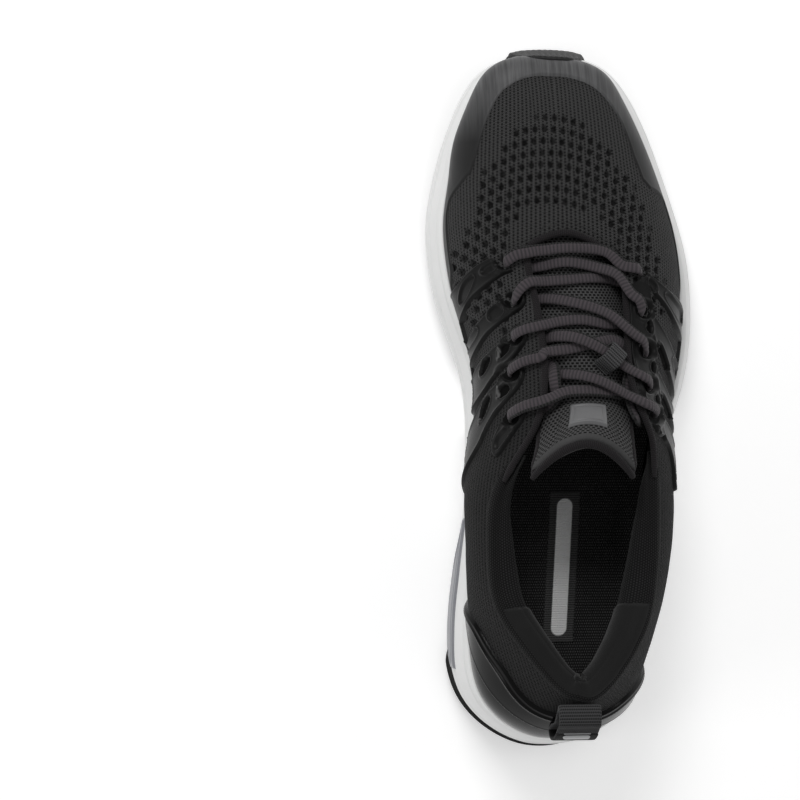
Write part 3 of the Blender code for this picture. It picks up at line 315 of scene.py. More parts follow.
def tongue_at(x, y):
    g = np.linspace(0, len(TONGUE) - 1, 300)
    best = None
    for a in np.linspace(-1.1, 1.1, 45):
        p = tongue_face(a, g)
        d = (p[:, 0] - x) ** 2 + (p[:, 1] - y) ** 2
        i = int(np.argmin(d))
        if best is None or d[i] < best[0]:
            best = (d[i], float(a), float(g[i]))
    return best[1], best[2]




# ---------------------------------------------------------------- mesh tools
ORIGIN = np.array([CENTRE[0], CENTRE[1], 0.0])
RNG = np.random.default_rng(7)


def ease(x, a, b):
    t = np.clip((np.asarray(x, float) - a) / (b - a), 0, 1)
    return t * t * (3 - 2 * t)


def add_mesh(name, verts, quads, material, attrs=None):
    v = (np.asarray(verts, float).reshape(-1, 3) - ORIGIN) * MM
    quads = np.asarray(quads)
    used, inv = np.unique(quads.reshape(-1), return_inverse=True)
    me = bpy.data.meshes.new(name)
    me.from_pydata(v[used].tolist(), [], inv.reshape(quads.shape).tolist())
    for key, a in (attrs or {}).items():
        a = np.asarray(a, float)
        if a.size == len(v):
            at = me.attributes.new(key, "FLOAT", "POINT")
            at.data.foreach_set("value", a.reshape(-1)[used].astype(np.float32))
        else:
            at = me.attributes.new(key, "FLOAT_VECTOR", "POINT")
            at.data.foreach_set("vector", a.reshape(-1, 3)[used].astype(np.float32).ravel())
    me.update()
    me.shade_smooth()
    me.materials.append(material)
    obj = bpy.data.objects.new(name, me)
    bpy.context.scene.collection.objects.link(obj)
    return obj


def quads_of(nu, nv, keep=None, wrap=False, shell=True):
    """Quads of a grid and, with shell, of its twin behind it and of the walls between them."""
    ni = nu if wrap else nu - 1
    i, j = np.arange(ni)[:, None], np.arange(nv - 1)[None]
    i2 = (i + 1) % nu
    a, b, c, d = np.broadcast_arrays(i * nv + j, i2 * nv + j, i2 * nv + j + 1, i * nv + j + 1)
    k = np.ones(a.shape, bool) if keep is None else keep
    q = np.stack([a, b, c, d], -1)[k]
    if not shell:
        return q
    base = nu * nv
    out = [q, q[:, ::-1] + base]
    kp = np.zeros((ni + 2, nv + 1), bool)
    kp[1:-1, 1:-1] = k
    if wrap:
        kp[0, 1:-1], kp[-1, 1:-1] = k[-1], k[0]
    for (p, r), near in (((a, b), kp[1:-1, :-2]), ((b, c), kp[2:, 1:-1]), ((c, d), kp[1:-1, 2:]), ((d, a), kp[:-2, 1:-1])):
        m = k & ~near
        out.append(np.stack([r[m], p[m], p[m] + base, r[m] + base], -1))
    return np.concatenate(out)


def shell(name, outer, inner, material, keep=None, wrap=False, attrs=None):
    nu, nv = outer.shape[:2]
    q = quads_of(nu, nv, keep, wrap)
    both = {k: np.concatenate([np.asarray(a, float).reshape(nu * nv, -1)] * 2) for k, a in (attrs or {}).items()}
    return add_mesh(name, np.concatenate([outer.reshape(-1, 3), inner.reshape(-1, 3)]), q, material, both)


def cells(mask):
    """Cells of a grid that have at least one corner in the mask."""
    return mask[:-1, :-1] | mask[1:, :-1] | mask[:-1, 1:] | mask[1:, 1:]


def rounded(poly, times=2):
    p = np.array(poly, float)
    for _ in range(times):
        q = np.roll(p, -1, 0)
        p = np.stack([p * 0.75 + q * 0.25, p * 0.25 + q * 0.75], 1).reshape(-1, 2)
    return p


def inside(x, y, poly, times=2):
    """Distance in from the outline of a polygon with rounded corners, negative outside it."""
    p = rounded(poly, times)
    dist = np.full(np.shape(x), 1e9)
    odd = np.zeros(np.shape(x), bool)
    for k in range(len(p)):
        (ax, ay), (bx, by) = p[k], p[(k + 1) % len(p)]
        ux, uy = bx - ax, by - ay
        t = np.clip(((x - ax) * ux + (y - ay) * uy) / (ux * ux + uy * uy + 1e-12), 0, 1)
        dist = np.minimum(dist, (x - ax - t * ux) ** 2 + (y - ay - t * uy) ** 2)
        if ay != by:
            odd ^= ((ay > y) != (by > y)) & (x < ax + (y - ay) * ux / uy)
    return np.sqrt(dist) * np.where(odd, 1, -1)


def from_line(x, y, pts):
    """Distance from an open line through points."""
    dist = np.full(np.shape(x), 1e9)
    for (ax, ay), (bx, by) in zip(pts[:-1], pts[1:]):
        ux, uy = bx - ax, by - ay
        t = np.clip(((x - ax) * ux + (y - ay) * uy) / (ux * ux + uy * uy + 1e-12), 0, 1)
        dist = np.minimum(dist, (x - ax - t * ux) ** 2 + (y - ay - t * uy) ** 2)
    return np.sqrt(dist)


def lumps(*coords, seed=1, waves=7, size=20.0):
    """Gentle smooth unevenness, -1 to 1, with features of about this size in millimetres."""
    r = np.random.default_rng(seed)
    out = 0
    for _ in range(waves):
        k = r.normal(size=len(coords)) * 2 * math.pi / size * 0.6
        out = out + np.sin(sum(c * q for c, q in zip(coords, k)) + r.uniform(0, 6.28))
    return out / waves ** 0.5 / 1.4


def height_above_bite(s):
    """For rows of s: table of the distance up the surface at fine steps of v."""
    v = np.linspace(0, 1, 121)
    a, b = np.meshgrid(s, v, indexing="ij")
    p = upper(a, b)
    seg = np.linalg.norm(np.diff(p, axis=1), axis=2)
    return v, np.concatenate([np.zeros((len(s), 1)), np.cumsum(seg, 1)], 1)


def cloth_chart(p, n):
    """Millimetres across (u) and along (w) the cloth, from the top line outward, as the knit's ribs run."""
    eu = np.cross([0, 1.0, 0], n)
    eu /= np.maximum(np.linalg.norm(eu, axis=-1, keepdims=True), 0.35)
    ew = np.cross(n, eu)
    dp = np.diff(p, axis=1)
    du = (dp * (eu[:, 1:] + eu[:, :-1]) / 2).sum(-1)
    dw = (dp * (ew[:, 1:] + ew[:, :-1]) / 2).sum(-1)
    back = lambda d: np.concatenate([np.cumsum(d[:, ::-1], 1)[:, ::-1], np.zeros((len(d), 1))], 1)
    return np.stack([p[:, -1:, 0] - back(du), p[:, -1:, 1] - back(dw), np.zeros(p.shape[:2])], -1)


def sweep(path, ref, section, blend_to=0.12):
    """Grid of points round a path: section(k, angle) gives (sideways, outward) in millimetres."""
    p = np.asarray(path, float)
    t = np.gradient(p, axis=0)
    t /= np.linalg.norm(t, axis=1, keepdims=True)
    r_all, w_all = np.zeros_like(p), np.zeros_like(p)
    last = None
    for k in range(len(p)):
        r = np.array(ref[k], float)
        r = r - t[k] * (r @ t[k])
        r /= np.linalg.norm(r) + 1e-12
        if last is not None:
            c = last - t[k] * (last @ t[k])
            c /= np.linalg.norm(c) + 1e-12
            if c @ r < 0:
                r = -r
            r = c * (1 - blend_to) + r * blend_to
            r /= np.linalg.norm(r)
        last = r
        r_all[k], w_all[k] = r, np.cross(t[k], r)
    side, out = section
    return p[:, None] + w_all[:, None] * side[..., None] + r_all[:, None] * out[..., None]


def tube_mesh(name, grid, material, attrs=None):
    """Closed tube from a grid (along, round)."""
    nu, nv = grid.shape[:2]
    ends = np.stack([grid[0].mean(0), grid[-1].mean(0)])
    i, j = np.arange(nu - 1)[:, None], np.arange(nv)[None]
    j2 = (j + 1) % nv
    a, b, c, d = np.broadcast_arrays(i * nv + j, i * nv + j2, (i + 1) * nv + j2, (i + 1) * nv + j)
    q = np.stack([a, b, c, d], -1).reshape(-1, 4)
    k = np.arange(nv)
    k2 = (k + 1) % nv
    base = nu * nv
    caps = np.concatenate([np.stack([k2, k, np.full(nv, base), np.full(nv, base)], -1),
                           np.stack([(nu - 1) * nv + k, (nu - 1) * nv + k2, np.full(nv, base + 1), np.full(nv, base + 1)], -1)])
    verts = np.concatenate([grid.reshape(-1, 3), ends])
    at = {}
    for key, v in (attrs or {}).items():
        v = np.asarray(v, float).reshape(nu * nv, -1)
        at[key] = np.concatenate([v, v[:1], v[-1:]])
    faces = [list(f) for f in q] + [list(f[:3]) for f in caps]
    v = (verts - ORIGIN) * MM
    me = bpy.data.meshes.new(name)
    me.from_pydata(v.tolist(), [], [[int(x) for x in f] for f in faces])
    for key, a in at.items():
        if a.shape[1] == 1:
            attr = me.attributes.new(key, "FLOAT", "POINT")
            attr.data.foreach_set("value", a.ravel().astype(np.float32))
        else:
            attr = me.attributes.new(key, "FLOAT_VECTOR", "POINT")
            attr.data.foreach_set("vector", a.ravel().astype(np.float32))
    me.update()
    me.shade_smooth()
    me.materials.append(material)
    obj = bpy.data.objects.new(name, me)
    bpy.context.scene.collection.objects.link(obj)
    return obj


def stitches(name, path, normal, material, length=1.9, gap=1.3, wide=0.42, high=0.3, lift=0.12):
    """Row of short raised thread stitches along a path of points."""
    p = np.asarray(path, float)
    seg = np.concatenate([[0], np.cumsum(np.linalg.norm(np.diff(p, axis=0), axis=1))])
    count = int(seg[-1] // (length + gap))
    th, ph = np.meshgrid(np.linspace(0, math.pi, 7), np.linspace(0, 2 * math.pi, 9)[:-1], indexing="ij")
    unit = np.stack([np.cos(th), np.sin(th) * np.cos(ph), np.sin(th) * np.sin(ph)], -1)
    verts, faces = [], []
    base_q = quads_of(8, 7, None, True, False)
    for k in range(count):
        at = (k + 0.5) * seg[-1] / count
        c = np.array([np.interp(at, seg, p[:, i]) for i in range(3)])
        f = np.array([np.interp(at + 0.4, seg, p[:, i]) for i in range(3)]) - np.array([np.interp(at - 0.4, seg, p[:, i]) for i in range(3)])
        f /= np.linalg.norm(f)
        n = np.array([np.interp(at, seg, np.asarray(normal)[:, i]) for i in range(3)])
        n -= f * (n @ f)
        n /= np.linalg.norm(n)
        w = np.cross(n, f)
        u = unit.transpose(1, 0, 2).reshape(-1, 3)
        verts.append(c + n * lift + f * u[:, :1] * length / 2 + w * u[:, 1:2] * wide + n * u[:, 2:3] * high)
        faces.append(base_q + k * 56)
    return add_mesh(name, np.concatenate(verts), np.concatenate(faces)[:, ::-1], material)


# ---------------------------------------------------------------- materials
class Nodes:
    """Short way to write a material's node tree."""

    def __init__(self, name, colour, rough, **sockets):
        self.mat = bpy.data.materials.new(name)
        self.mat.use_nodes = True
        self.tree = self.mat.node_tree
        self.shader = self.tree.nodes["Principled BSDF"]
        self.shader.inputs["Base Color"].default_value = tuple(colour) + (1.0,)
        self.shader.inputs["Roughness"].default_value = rough
        for k, v in sockets.items():
            self.shader.inputs[k.replace("_", " ")].default_value = v
        self.mat.diffuse_color = tuple(colour) + (1.0,)

    def put(self, socket, value):
        if isinstance(value, bpy.types.NodeSocket):
            self.tree.links.new(value, socket)
        else:
            socket.default_value = value

    def math(self, op, a, b=0.0, c=0.0, clamp=False):
        n = self.tree.nodes.new("ShaderNodeMath")
        n.operation = op
        n.use_clamp = clamp
        for i, x in enumerate((a, b, c)):
            self.put(n.inputs[i], x)
        return n.outputs[0]

    def attr(self, name, vector=False):
        n = self.tree.nodes.new("ShaderNodeAttribute")
        n.attribute_name = name
        return n.outputs["Vector" if vector else "Fac"]

    def split(self, vector):
        n = self.tree.nodes.new("ShaderNodeSeparateXYZ")
        self.put(n.inputs[0], vector)
        return n.outputs

    def join(self, x, y, z=0.0):
        n = self.tree.nodes.new("ShaderNodeCombineXYZ")
        for i, v in enumerate((x, y, z)):
            self.put(n.inputs[i], v)
        return n.outputs[0]

    def place(self):
        """Position in the object, in millimetres."""
        n = self.tree.nodes.new("ShaderNodeTexCoord")
        m = self.tree.nodes.new("ShaderNodeVectorMath")
        m.operation = "SCALE"
        self.tree.links.new(n.outputs["Object"], m.inputs[0])
        m.inputs["Scale"].default_value = 1000.0
        return m.outputs[0]

    def noise(self, vector, scale, detail=3.0, rough=0.55):
        n = self.tree.nodes.new("ShaderNodeTexNoise")
        self.put(n.inputs["Vector"], vector)
        n.inputs["Scale"].default_value = scale
        n.inputs["Detail"].default_value = detail
        n.inputs["Roughness"].default_value = rough
        return n.outputs[0]

    def voronoi(self, vector, scale, randomness=1.0):
        n = self.tree.nodes.new("ShaderNodeTexVoronoi")
        self.put(n.inputs["Vector"], vector)
        n.inputs["Scale"].default_value = scale
        n.inputs["Randomness"].default_value = randomness
        return n.outputs["Distance"]

    def wave(self, x, period, phase=0.0):
        """Cosine from 0 to 1 with this period."""
        k = self.math("MULTIPLY_ADD", x, 2 * math.pi / period, phase)
        return self.math("MULTIPLY_ADD", self.math("COSINE", k), 0.5, 0.5)

    def span(self, x, a, b, lo=0.0, hi=1.0):
        n = self.tree.nodes.new("ShaderNodeMapRange")
        for i, v in enumerate((x, a, b, lo, hi)):
            self.put(n.inputs[i], v)
        return n.outputs[0]

    def mix(self, f, a, b):
        n = self.tree.nodes.new("ShaderNodeMix")
        n.data_type = "RGBA"
        self.put(n.inputs[0], f)
        for i, v in ((6, a), (7, b)):
            self.put(n.inputs[i], v if isinstance(v, bpy.types.NodeSocket) else tuple(v) + (1.0,))
        return n.outputs[2]

    def colour(self, value):
        self.put(self.shader.inputs["Base Color"], value)

    def rough(self, value):
        self.put(self.shader.inputs["Roughness"], value)

    def bump(self, height, distance, strength=1.0):
        """Bump from a height of 0 to 1, with this many millimetres between them."""
        n = self.tree.nodes.new("ShaderNodeBump")
        n.inputs["Strength"].default_value = strength
        n.inputs["Distance"].default_value = distance * MM
        self.put(n.inputs["Height"], height)
        self.tree.links.new(n.outputs[0], self.shader.inputs["Normal"])


def grey(v, tint=(1.0, 1.0, 1.0)):
    return tuple(v * t for t in tint)


def knit_material():
    """Engineered knit: rib columns with a tiny pit at each stitch, and dark vents."""
    m = Nodes("knit", grey(0.026), 0.88, Specular_IOR_Level=0.12, Sheen_Weight=0.03, Sheen_Roughness=0.5)
    u, w, _ = m.split(m.attr("chart", True))
    hole = m.attr("hole")
    jitter = m.noise(m.attr("chart", True), 0.9, 2.0)
    u2 = m.math("MULTIPLY_ADD", jitter, 0.5, u)
    rib = m.wave(u2, 1.87)
    step = m.math("MULTIPLY", m.math("FLOOR", m.math("DIVIDE", u2, 1.87)), 0.72)
    pit_w = m.wave(m.math("ADD", w, step), 1.42)
    pit_u = m.wave(u2, 1.87, math.pi)
    pit = m.math("MULTIPLY", m.span(pit_w, 0.3, 0.8), m.span(pit_u, 0.35, 0.85))
    braid = m.wave(m.math("ADD", m.math("MULTIPLY", w, 1.0), m.math("ABSOLUTE", m.math("SUBTRACT", m.math("FLOORED_MODULO", u2, 1.87), 0.93))), 0.95)
    fibre = m.noise(m.attr("chart", True), 6.0, 3.0)
    h = m.math("SUBTRACT", m.math("ADD", m.math("MULTIPLY", rib, 0.4), m.math("MULTIPLY", braid, 0.5)), m.math("MULTIPLY", pit, 1.3))
    h = m.math("ADD", h, m.math("MULTIPLY", fibre, 0.25))
    m.bump(h, 0.34)
    base = m.mix(m.span(m.math("ADD", m.math("MULTIPLY", rib, 0.25), m.math("MULTIPLY", braid, 0.75)), 0.1, 0.9), grey(0.020), grey(0.056))
    base = m.mix(m.span(fibre, 0.35, 0.7, 0.0, 0.35), base, grey(0.052, (1.0, 0.98, 1.0)))
    # Painted shade: darkens the knit towards the heel and near the bite line, by the attribute set in knit().
    base = m.mix(m.math("MULTIPLY", m.attr("painted_shade"), 0.82), base, grey(0.005))
    base = m.mix(m.math("MULTIPLY", pit, 0.95), base, grey(0.0025))
    vary = m.span(m.noise(m.attr("chart", True), 0.3, 2.0), 0.35, 0.65, 0.62, 1.0)
    m.colour(m.mix(m.math("MULTIPLY", m.span(hole, 0.22, 0.9), vary), base, grey(0.003)))
    m.rough(m.span(fibre, 0.2, 0.8, 0.8, 0.93))
    return m.mat


def mesh_material():
    """Open sandwich mesh: staggered dark pores between twisted threads."""
    m = Nodes("mesh", grey(0.035), 0.84, Specular_IOR_Level=0.15)
    u, w, _ = m.split(m.attr("chart", True))
    row = m.math("FLOOR", m.math("DIVIDE", w, 1.3))
    u2 = m.math("ADD", u, m.math("MULTIPLY", row, 0.95))
    a = m.wave(u2, 1.9)
    b = m.wave(w, 1.3, math.pi)
    pore = m.math("MULTIPLY", m.span(a, 0.22, 0.55), m.span(b, 0.15, 0.5))
    fibre = m.noise(m.attr("chart", True), 7.0, 2.0)
    m.bump(m.math("ADD", m.math("SUBTRACT", 1.0, pore), m.math("MULTIPLY", fibre, 0.25)), 0.4)
    base = m.mix(fibre, grey(0.050), grey(0.082, (1.0, 0.99, 1.0)))
    m.colour(m.mix(m.math("MULTIPLY", pore, 0.97), base, grey(0.003)))
    return m.mat


def lace_material():
    """Woven flat-oval lace: ribs across it and a black stitched edge along one side."""
    m = Nodes("lace", grey(0.05), 0.8, Specular_IOR_Level=0.2, Sheen_Weight=0.08, Sheen_Roughness=0.45)
    along, turn, _ = m.split(m.attr("chart", True))
    rib = m.wave(along, 1.55)
    thread = m.wave(m.math("ADD", turn, m.math("MULTIPLY", along, 0.9)), 0.42)
    edge = m.math("MAXIMUM", m.span(m.math("ABSOLUTE", m.math("SUBTRACT", m.attr("side"), 0.80)), 0.26, 0.16), 0.0)
    fibre = m.noise(m.attr("chart", True), 4.0, 3.0)
    base = m.mix(m.span(rib, 0.1, 0.85), grey(0.026, (1.05, 0.95, 1.05)), grey(0.056, (1.12, 0.93, 1.04)))
    base = m.mix(m.math("MULTIPLY", thread, 0.25), base, grey(0.085, (1.08, 0.95, 1.04)))
    base = m.mix(m.span(fibre, 0.3, 0.75, 0.0, 0.35), base, grey(0.03, (1.05, 0.95, 1.02)))
    dash = m.span(m.wave(along, 1.25), 0.25, 0.6)
    m.colour(m.mix(edge, base, m.mix(dash, grey(0.004), grey(0.024))))
    m.bump(m.math("ADD", m.math("MULTIPLY", thread, 0.5), m.math("MULTIPLY", fibre, 0.5)), 0.12)
    return m.mat


def textile_material(name, colour, light, pitch, depth=0.2, rough=0.9, across=True, sheen=0.03):
    """Plain ribbed or woven textile, on the chart in millimetres."""
    m = Nodes(name, colour, rough, Specular_IOR_Level=0.12, Sheen_Weight=sheen)
    u, w, _ = m.split(m.attr("chart", True))
    rib = m.wave(w if across else u, pitch)
    thread = m.wave(m.math("ADD", u if across else w, m.math("MULTIPLY", m.math("FLOOR", m.math("DIVIDE", w if across else u, pitch)), pitch * 0.33)), pitch * 0.7)
    fibre = m.noise(m.attr("chart", True), 5.0, 3.0)
    h = m.math("ADD", m.math("MULTIPLY", rib, 0.6), m.math("MULTIPLY", thread, 0.3))
    h = m.math("ADD", h, m.math("MULTIPLY", fibre, 0.25))
    m.bump(h, depth)
    m.colour(m.mix(m.span(h, 0.2, 1.0), colour, light))
    m.rough(m.span(fibre, 0.2, 0.8, rough - 0.06, min(rough + 0.05, 1.0)))
    return m.mat


def dotted_textile(name, colour, light, pu, pw, depth=0.2, rough=0.92):
    """Knitted spacer textile: rows of small raised dots, each row half a step along."""
    m = Nodes(name, colour, rough, Specular_IOR_Level=0.1, Sheen_Weight=0.05)
    u, w, _ = m.split(m.attr("chart", True))
    row = m.math("FLOOR", m.math("DIVIDE", w, pw))
    u2 = m.math("MULTIPLY_ADD", row, pu * 0.5, u)
    dot = m.math("MULTIPLY", m.wave(u2, pu), m.wave(w, pw, math.pi))
    fibre = m.noise(m.attr("chart", True), 4.0, 3.0)
    slow = m.noise(m.attr("chart", True), 0.12, 2.0)
    h = m.math("ADD", m.math("MULTIPLY", dot, 0.9), m.math("MULTIPLY", fibre, 0.25))
    m.bump(h, depth)
    base = m.mix(m.span(h, 0.1, 0.95), colour, light)
    m.colour(m.mix(m.span(slow, 0.3, 0.8, 0.0, 0.3), base, colour))
    m.rough(m.span(fibre, 0.2, 0.8, rough - 0.06, min(rough + 0.05, 1.0)))
    return m.mat


def moulded_material(name, colour, light, rough, grain=1.6, depth=0.05, streak=False, **sockets):
    """Moulded rubber, foam or plastic with fine grain and slow colour change."""
    m = Nodes(name, colour, rough, **sockets)
    p = m.place()
    fine = m.noise(p, grain, 4.0, 0.6)
    slow = m.noise(p, 0.05, 2.0)
    if streak:
        x, y, z = m.split(p)
        fine = m.noise(m.join(m.math("MULTIPLY", x, 2.2), m.math("MULTIPLY", y, 0.06), m.math("MULTIPLY", z, 0.3)), 1.0, 4.0, 0.6)
    m.colour(m.mix(m.math("ADD", m.math("MULTIPLY", fine, 0.55), m.math("MULTIPLY", slow, 0.45)), colour, light))
    m.rough(m.span(fine, 0.25, 0.75, rough - 0.06, rough + 0.08))
    m.bump(fine, depth)
    return m


RUBBER = moulded_material("rubber", grey(0.008), grey(0.019), 0.56, 2.2, 0.06, Specular_IOR_Level=0.3)
_w = RUBBER.attr("white")
_c = RUBBER.shader.inputs["Base Color"].links[0].from_socket
RUBBER.colour(RUBBER.mix(_w, _c, RUBBER.mix(RUBBER.noise(RUBBER.place(), 0.8), grey(0.50), grey(0.66))))
RUBBER = RUBBER.mat
FOAM = moulded_material("foam", (0.71, 0.715, 0.71), (0.80, 0.80, 0.795), 0.55, 3.0, 0.045, Specular_IOR_Level=0.35)
# The channel attribute greys the floor of the channel under the arch and heel, and adds painted shade along the crease
# of the side wall.
_channel_tone_and_crease_shade = FOAM.attr("channel")
_c = FOAM.shader.inputs["Base Color"].links[0].from_socket
_x, _y, _z = FOAM.split(FOAM.place())
_dim = FOAM.math("MULTIPLY", FOAM.wave(FOAM.math("ADD", _x, _y), 2.0), FOAM.wave(FOAM.math("SUBTRACT", _x, _y), 2.0))
FOAM.colour(FOAM.mix(FOAM.math("MULTIPLY", _channel_tone_and_crease_shade, FOAM.math("MULTIPLY_ADD", _dim, 0.35, 0.65)), _c, (0.50, 0.51, 0.51)))
FOAM = FOAM.mat
FILM = moulded_material("film", grey(0.011), grey(0.024, (1.0, 1.0, 1.02)), 0.42, 1.4, 0.03, True, Specular_IOR_Level=0.16)
_c = FILM.shader.inputs["Base Color"].links[0].from_socket
# Painted highlight: the toe film's colour is made much lighter towards the front of the toe (y 108 to 134 mm), in noisy
# streaks, standing for the light that falls there.
_x, _y, _z = FILM.split(FILM.place())
_film_highlight_streaks = FILM.noise(FILM.join(FILM.math("MULTIPLY", _x, 0.9), FILM.math("MULTIPLY", _y, 0.04), 0.0), 1.0, 3.0, 0.6)
_t = FILM.math("MULTIPLY", FILM.span(_y, 108.0, 134.0), FILM.span(_film_highlight_streaks, 0.3, 0.7, 0.42, 1.0))
FILM.colour(FILM.mix(_t, _c, grey(0.112, (1.0, 1.0, 1.02))))
FILM = FILM.mat
CAGE = moulded_material("cage", grey(0.004), grey(0.009), 0.36, 2.6, 0.03, Specular_IOR_Level=0.12)
# Windows and eyelet holes are filled near black: partly the dark lining behind them, partly painted shade inside the
# openings.
_opening_dark_and_shade = CAGE.attr("dark")
_c = CAGE.shader.inputs["Base Color"].links[0].from_socket
# Painted highlight: light grey bars along the edges of some windows.
CAGE.colour(CAGE.mix(CAGE.attr("tab"), CAGE.mix(_opening_dark_and_shade, _c, grey(0.0012)), grey(0.10)))
_r = CAGE.shader.inputs["Roughness"].links[0].from_socket
CAGE.rough(CAGE.math("MAXIMUM", _r, CAGE.math("MULTIPLY", _opening_dark_and_shade, 0.95)))
CAGE = CAGE.mat
GLOSS = moulded_material("gloss", grey(0.0025), grey(0.005), 0.15, 0.7, 0.012, Specular_IOR_Level=0.085).mat
TPU = moulded_material("tpu_grey", grey(0.17, (0.95, 0.98, 1.08)), grey(0.24, (0.96, 0.98, 1.06)), 0.32, 1.2, 0.02, Coat_Weight=0.2, Coat_Roughness=0.2).mat
LABEL = moulded_material("label", grey(0.095), grey(0.15, (1.0, 1.0, 1.03)), 0.36, 1.6, 0.02, True, Specular_IOR_Level=0.35).mat
LIGHT = moulded_material("light", grey(0.30), grey(0.46, (0.98, 1.0, 1.02)), 0.45, 2.0, 0.03).mat
BOARD = moulded_material("board", (0.26, 0.24, 0.20), (0.40, 0.37, 0.32), 0.88, 1.1, 0.1).mat
PLATE = moulded_material("plate", (0.035, 0.045, 0.055), (0.07, 0.08, 0.09), 0.4, 1.4, 0.04).mat
SUEDE = moulded_material("suede", grey(0.0045), grey(0.013), 0.97, 3.2, 0.16, Sheen_Weight=0.12, Sheen_Roughness=0.6, Specular_IOR_Level=0.08).mat
KNIT_MAT, MESH_MAT, LACE_MAT = knit_material(), mesh_material(), lace_material()
LINING = dotted_textile("lining", grey(0.004), grey(0.027), 1.15, 1.0, 0.24)
BINDING = dotted_textile("binding", grey(0.009, (1.05, 0.96, 1.03)), grey(0.034, (1.06, 0.96, 1.02)), 0.8, 0.8, 0.14)
WEBBING = textile_material("webbing", grey(0.010), grey(0.062, (1.0, 1.0, 1.03)), 1.3, 0.24, 0.78)
INSOLE = dotted_textile("insole", grey(0.006), grey(0.085), 1.0, 1.2, 0.25)
THREAD = moulded_material("thread", grey(0.008), grey(0.026), 0.8, 4.0, 0.05).mat
STRIP = textile_material("insole_strip", grey(0.020), grey(0.095), 1.0, 0.2, 0.85)
for _mat, _word, _tone in ((STRIP, "mark", grey(0.80)), (WEBBING, "plain", grey(0.0035))):
    _n = Nodes.__new__(Nodes)
    _n.mat, _n.tree = _mat, _mat.node_tree
    _n.shader = _mat.node_tree.nodes["Principled BSDF"]
    _c = _n.shader.inputs["Base Color"].links[0].from_socket
    _n.colour(_n.mix(_n.attr(_word), _c, _tone))
KEEPER = textile_material("keeper", grey(0.012), grey(0.085, (1.0, 1.0, 1.03)), 1.25, 0.24, 0.78, across=False)


def finish_piece(obj, body, slot, *nodes):
    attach(obj, body)
    if nodes:
        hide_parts(*nodes)
    return obj


# ---------------------------------------------------------------- layout shared with the frame
def level(s, d, z_of):
    """Ring at an inset from the outline, at the height that z_of gives for its Y."""
    p, _ = inset(s, np.broadcast_to(d, s.shape))
    return np.concatenate([p, z_of(p[:, 1])[:, None]], -1)


def mirrored_keys(ys):
    """Keys round the outline whose two sides pass the same Y, so that a cap can be laid across them in strips."""
    return np.array([0.0] + [s_of("L", y) for y in ys] + [S_TOE] + [s_of("M", y) for y in ys[::-1]])


Y_ROWS = [-148.6, -146.5, -142, -135, -127, -118, -108, -97, -85, -72, -58, -44, -30, -16, -2, 12, 25, 38, 50, 62, 74, 86, 97, 107, 117, 126, 134, 140.5, 144.8, 146.6, 147.6]
S = mirrored_keys(Y_ROWS)
N = len(S)

def channel_path(points):
    p = np.array(points, float)
    seg = np.concatenate([[0], np.cumsum(np.linalg.norm(np.diff(p, axis=0), axis=1))])
    return lambda f: [float(np.interp(f * seg[-1], seg, p[:, 0])), float(np.interp(f * seg[-1], seg, p[:, 1]))]


front_inner = channel_path([(23.2, 0)] + [(x + 0.9, y) for y, x in CHANNEL_LAT[::-1] if 5 < y < 122] + [(-1, 125.5)]
                           + [(x - 0.9, y) for y, x in CHANNEL_MED if 5 < y < 122] + [(0.5, 5)])
rear_inner = channel_path([(7.0, -9), (10.6, -24), (8.6, -40), (6.2, -47), (-1.2, -63), (-9.2, -78), (-13.5, -91), (-13.5, -107),
                           (-8.3, -118), (4, -124), (14, -117.5), (18, -104), (18.6, -84), (20.6, -67), (23.6, -52)])


def pad_section(s, thick, t):
    """Inner face of the collar pad, t from the bottom (0) over the crest to the top line (1)."""
    n = upper_normal(s, 0.8)
    n = n * np.array([1, 1, 0.25])
    n /= np.linalg.norm(n, axis=-1, keepdims=True)
    row = top_line(s)
    top = row[..., 0:3] - n * (KNIT + 1.0)
    up = np.array([0, 0, 1.0])
    q0 = skin(s, np.full(s.shape, 0.34), np.full(s.shape, -KNIT - 1.0))
    q1 = skin(s, np.full(s.shape, 0.6), -KNIT - thick * 1.25)
    q2 = top - n * (thick * 1.2)[..., None] + up * 9.0
    t = t[..., None]
    return q0 * (1 - t) ** 3 + 3 * q1 * t * (1 - t) ** 2 + 3 * q2 * t ** 2 * (1 - t) + top * t ** 3


# ---------------------------------------------------------------- knitted upper
BAND = [(-46, 56), (-34.4, 71.6), (-33.3, 77.6), (-33.0, 81.9), (-31.5, 88.0), (-29.8, 93.9), (-27.0, 98.6), (-23.6, 101.4), (-20.9, 107.1),
        (-17.6, 110.7), (-14.2, 113.2), (-6.5, 118.0), (0.9, 118.9), (5.5, 118.2), (10.1, 117.5), (16.5, 111.1), (19.6, 108.5), (24.0, 105.7),
        (26.8, 98.7), (30.2, 95.7), (33.0, 90.5), (35.7, 84.7), (39.2, 78.4), (41.7, 67.8), (46, 54), (48, 36), (28, 30), (27, 66), (17, 79.5), (-14, 79.5),
        (-21, 68), (-22, 52), (-20, 26), (-40, 34)]


def vents(x, y):
    """Knitted-in vents, 0 to 1, and the raised lip round them: columns 3.95 apart, arched rows 5.05 apart."""
    row = (y + 0.0129 * (x + 4) ** 2 - 83.0) / 5.05
    best, lip = np.zeros(x.shape), np.zeros(x.shape)
    for r in (np.floor(row), np.floor(row) + 1):
        for dc in (-0.5, 0.5):
            c = np.floor((x + 4 - 0.65 * r) / 3.95) + 0.5 + dc
            xc = -4 + 0.65 * r + 3.95 * c
            yc = 83.0 + 5.05 * r - 0.0129 * (xc + 4) ** 2
            size = ease(inside(xc, yc, BAND, 0), -1.2, 0.9)
            e = ((x - xc) / 1.22) ** 2 + ((y - yc) / 1.62) ** 2
            best = np.maximum(best, ease(1.45 - e, 0, 1.1) * (0.45 + 0.55 * size) * (size > 0.02))
            lip = np.maximum(lip, np.exp(-((np.sqrt(e) - 1.55) / 0.4) ** 2) * size)
    return best, lip


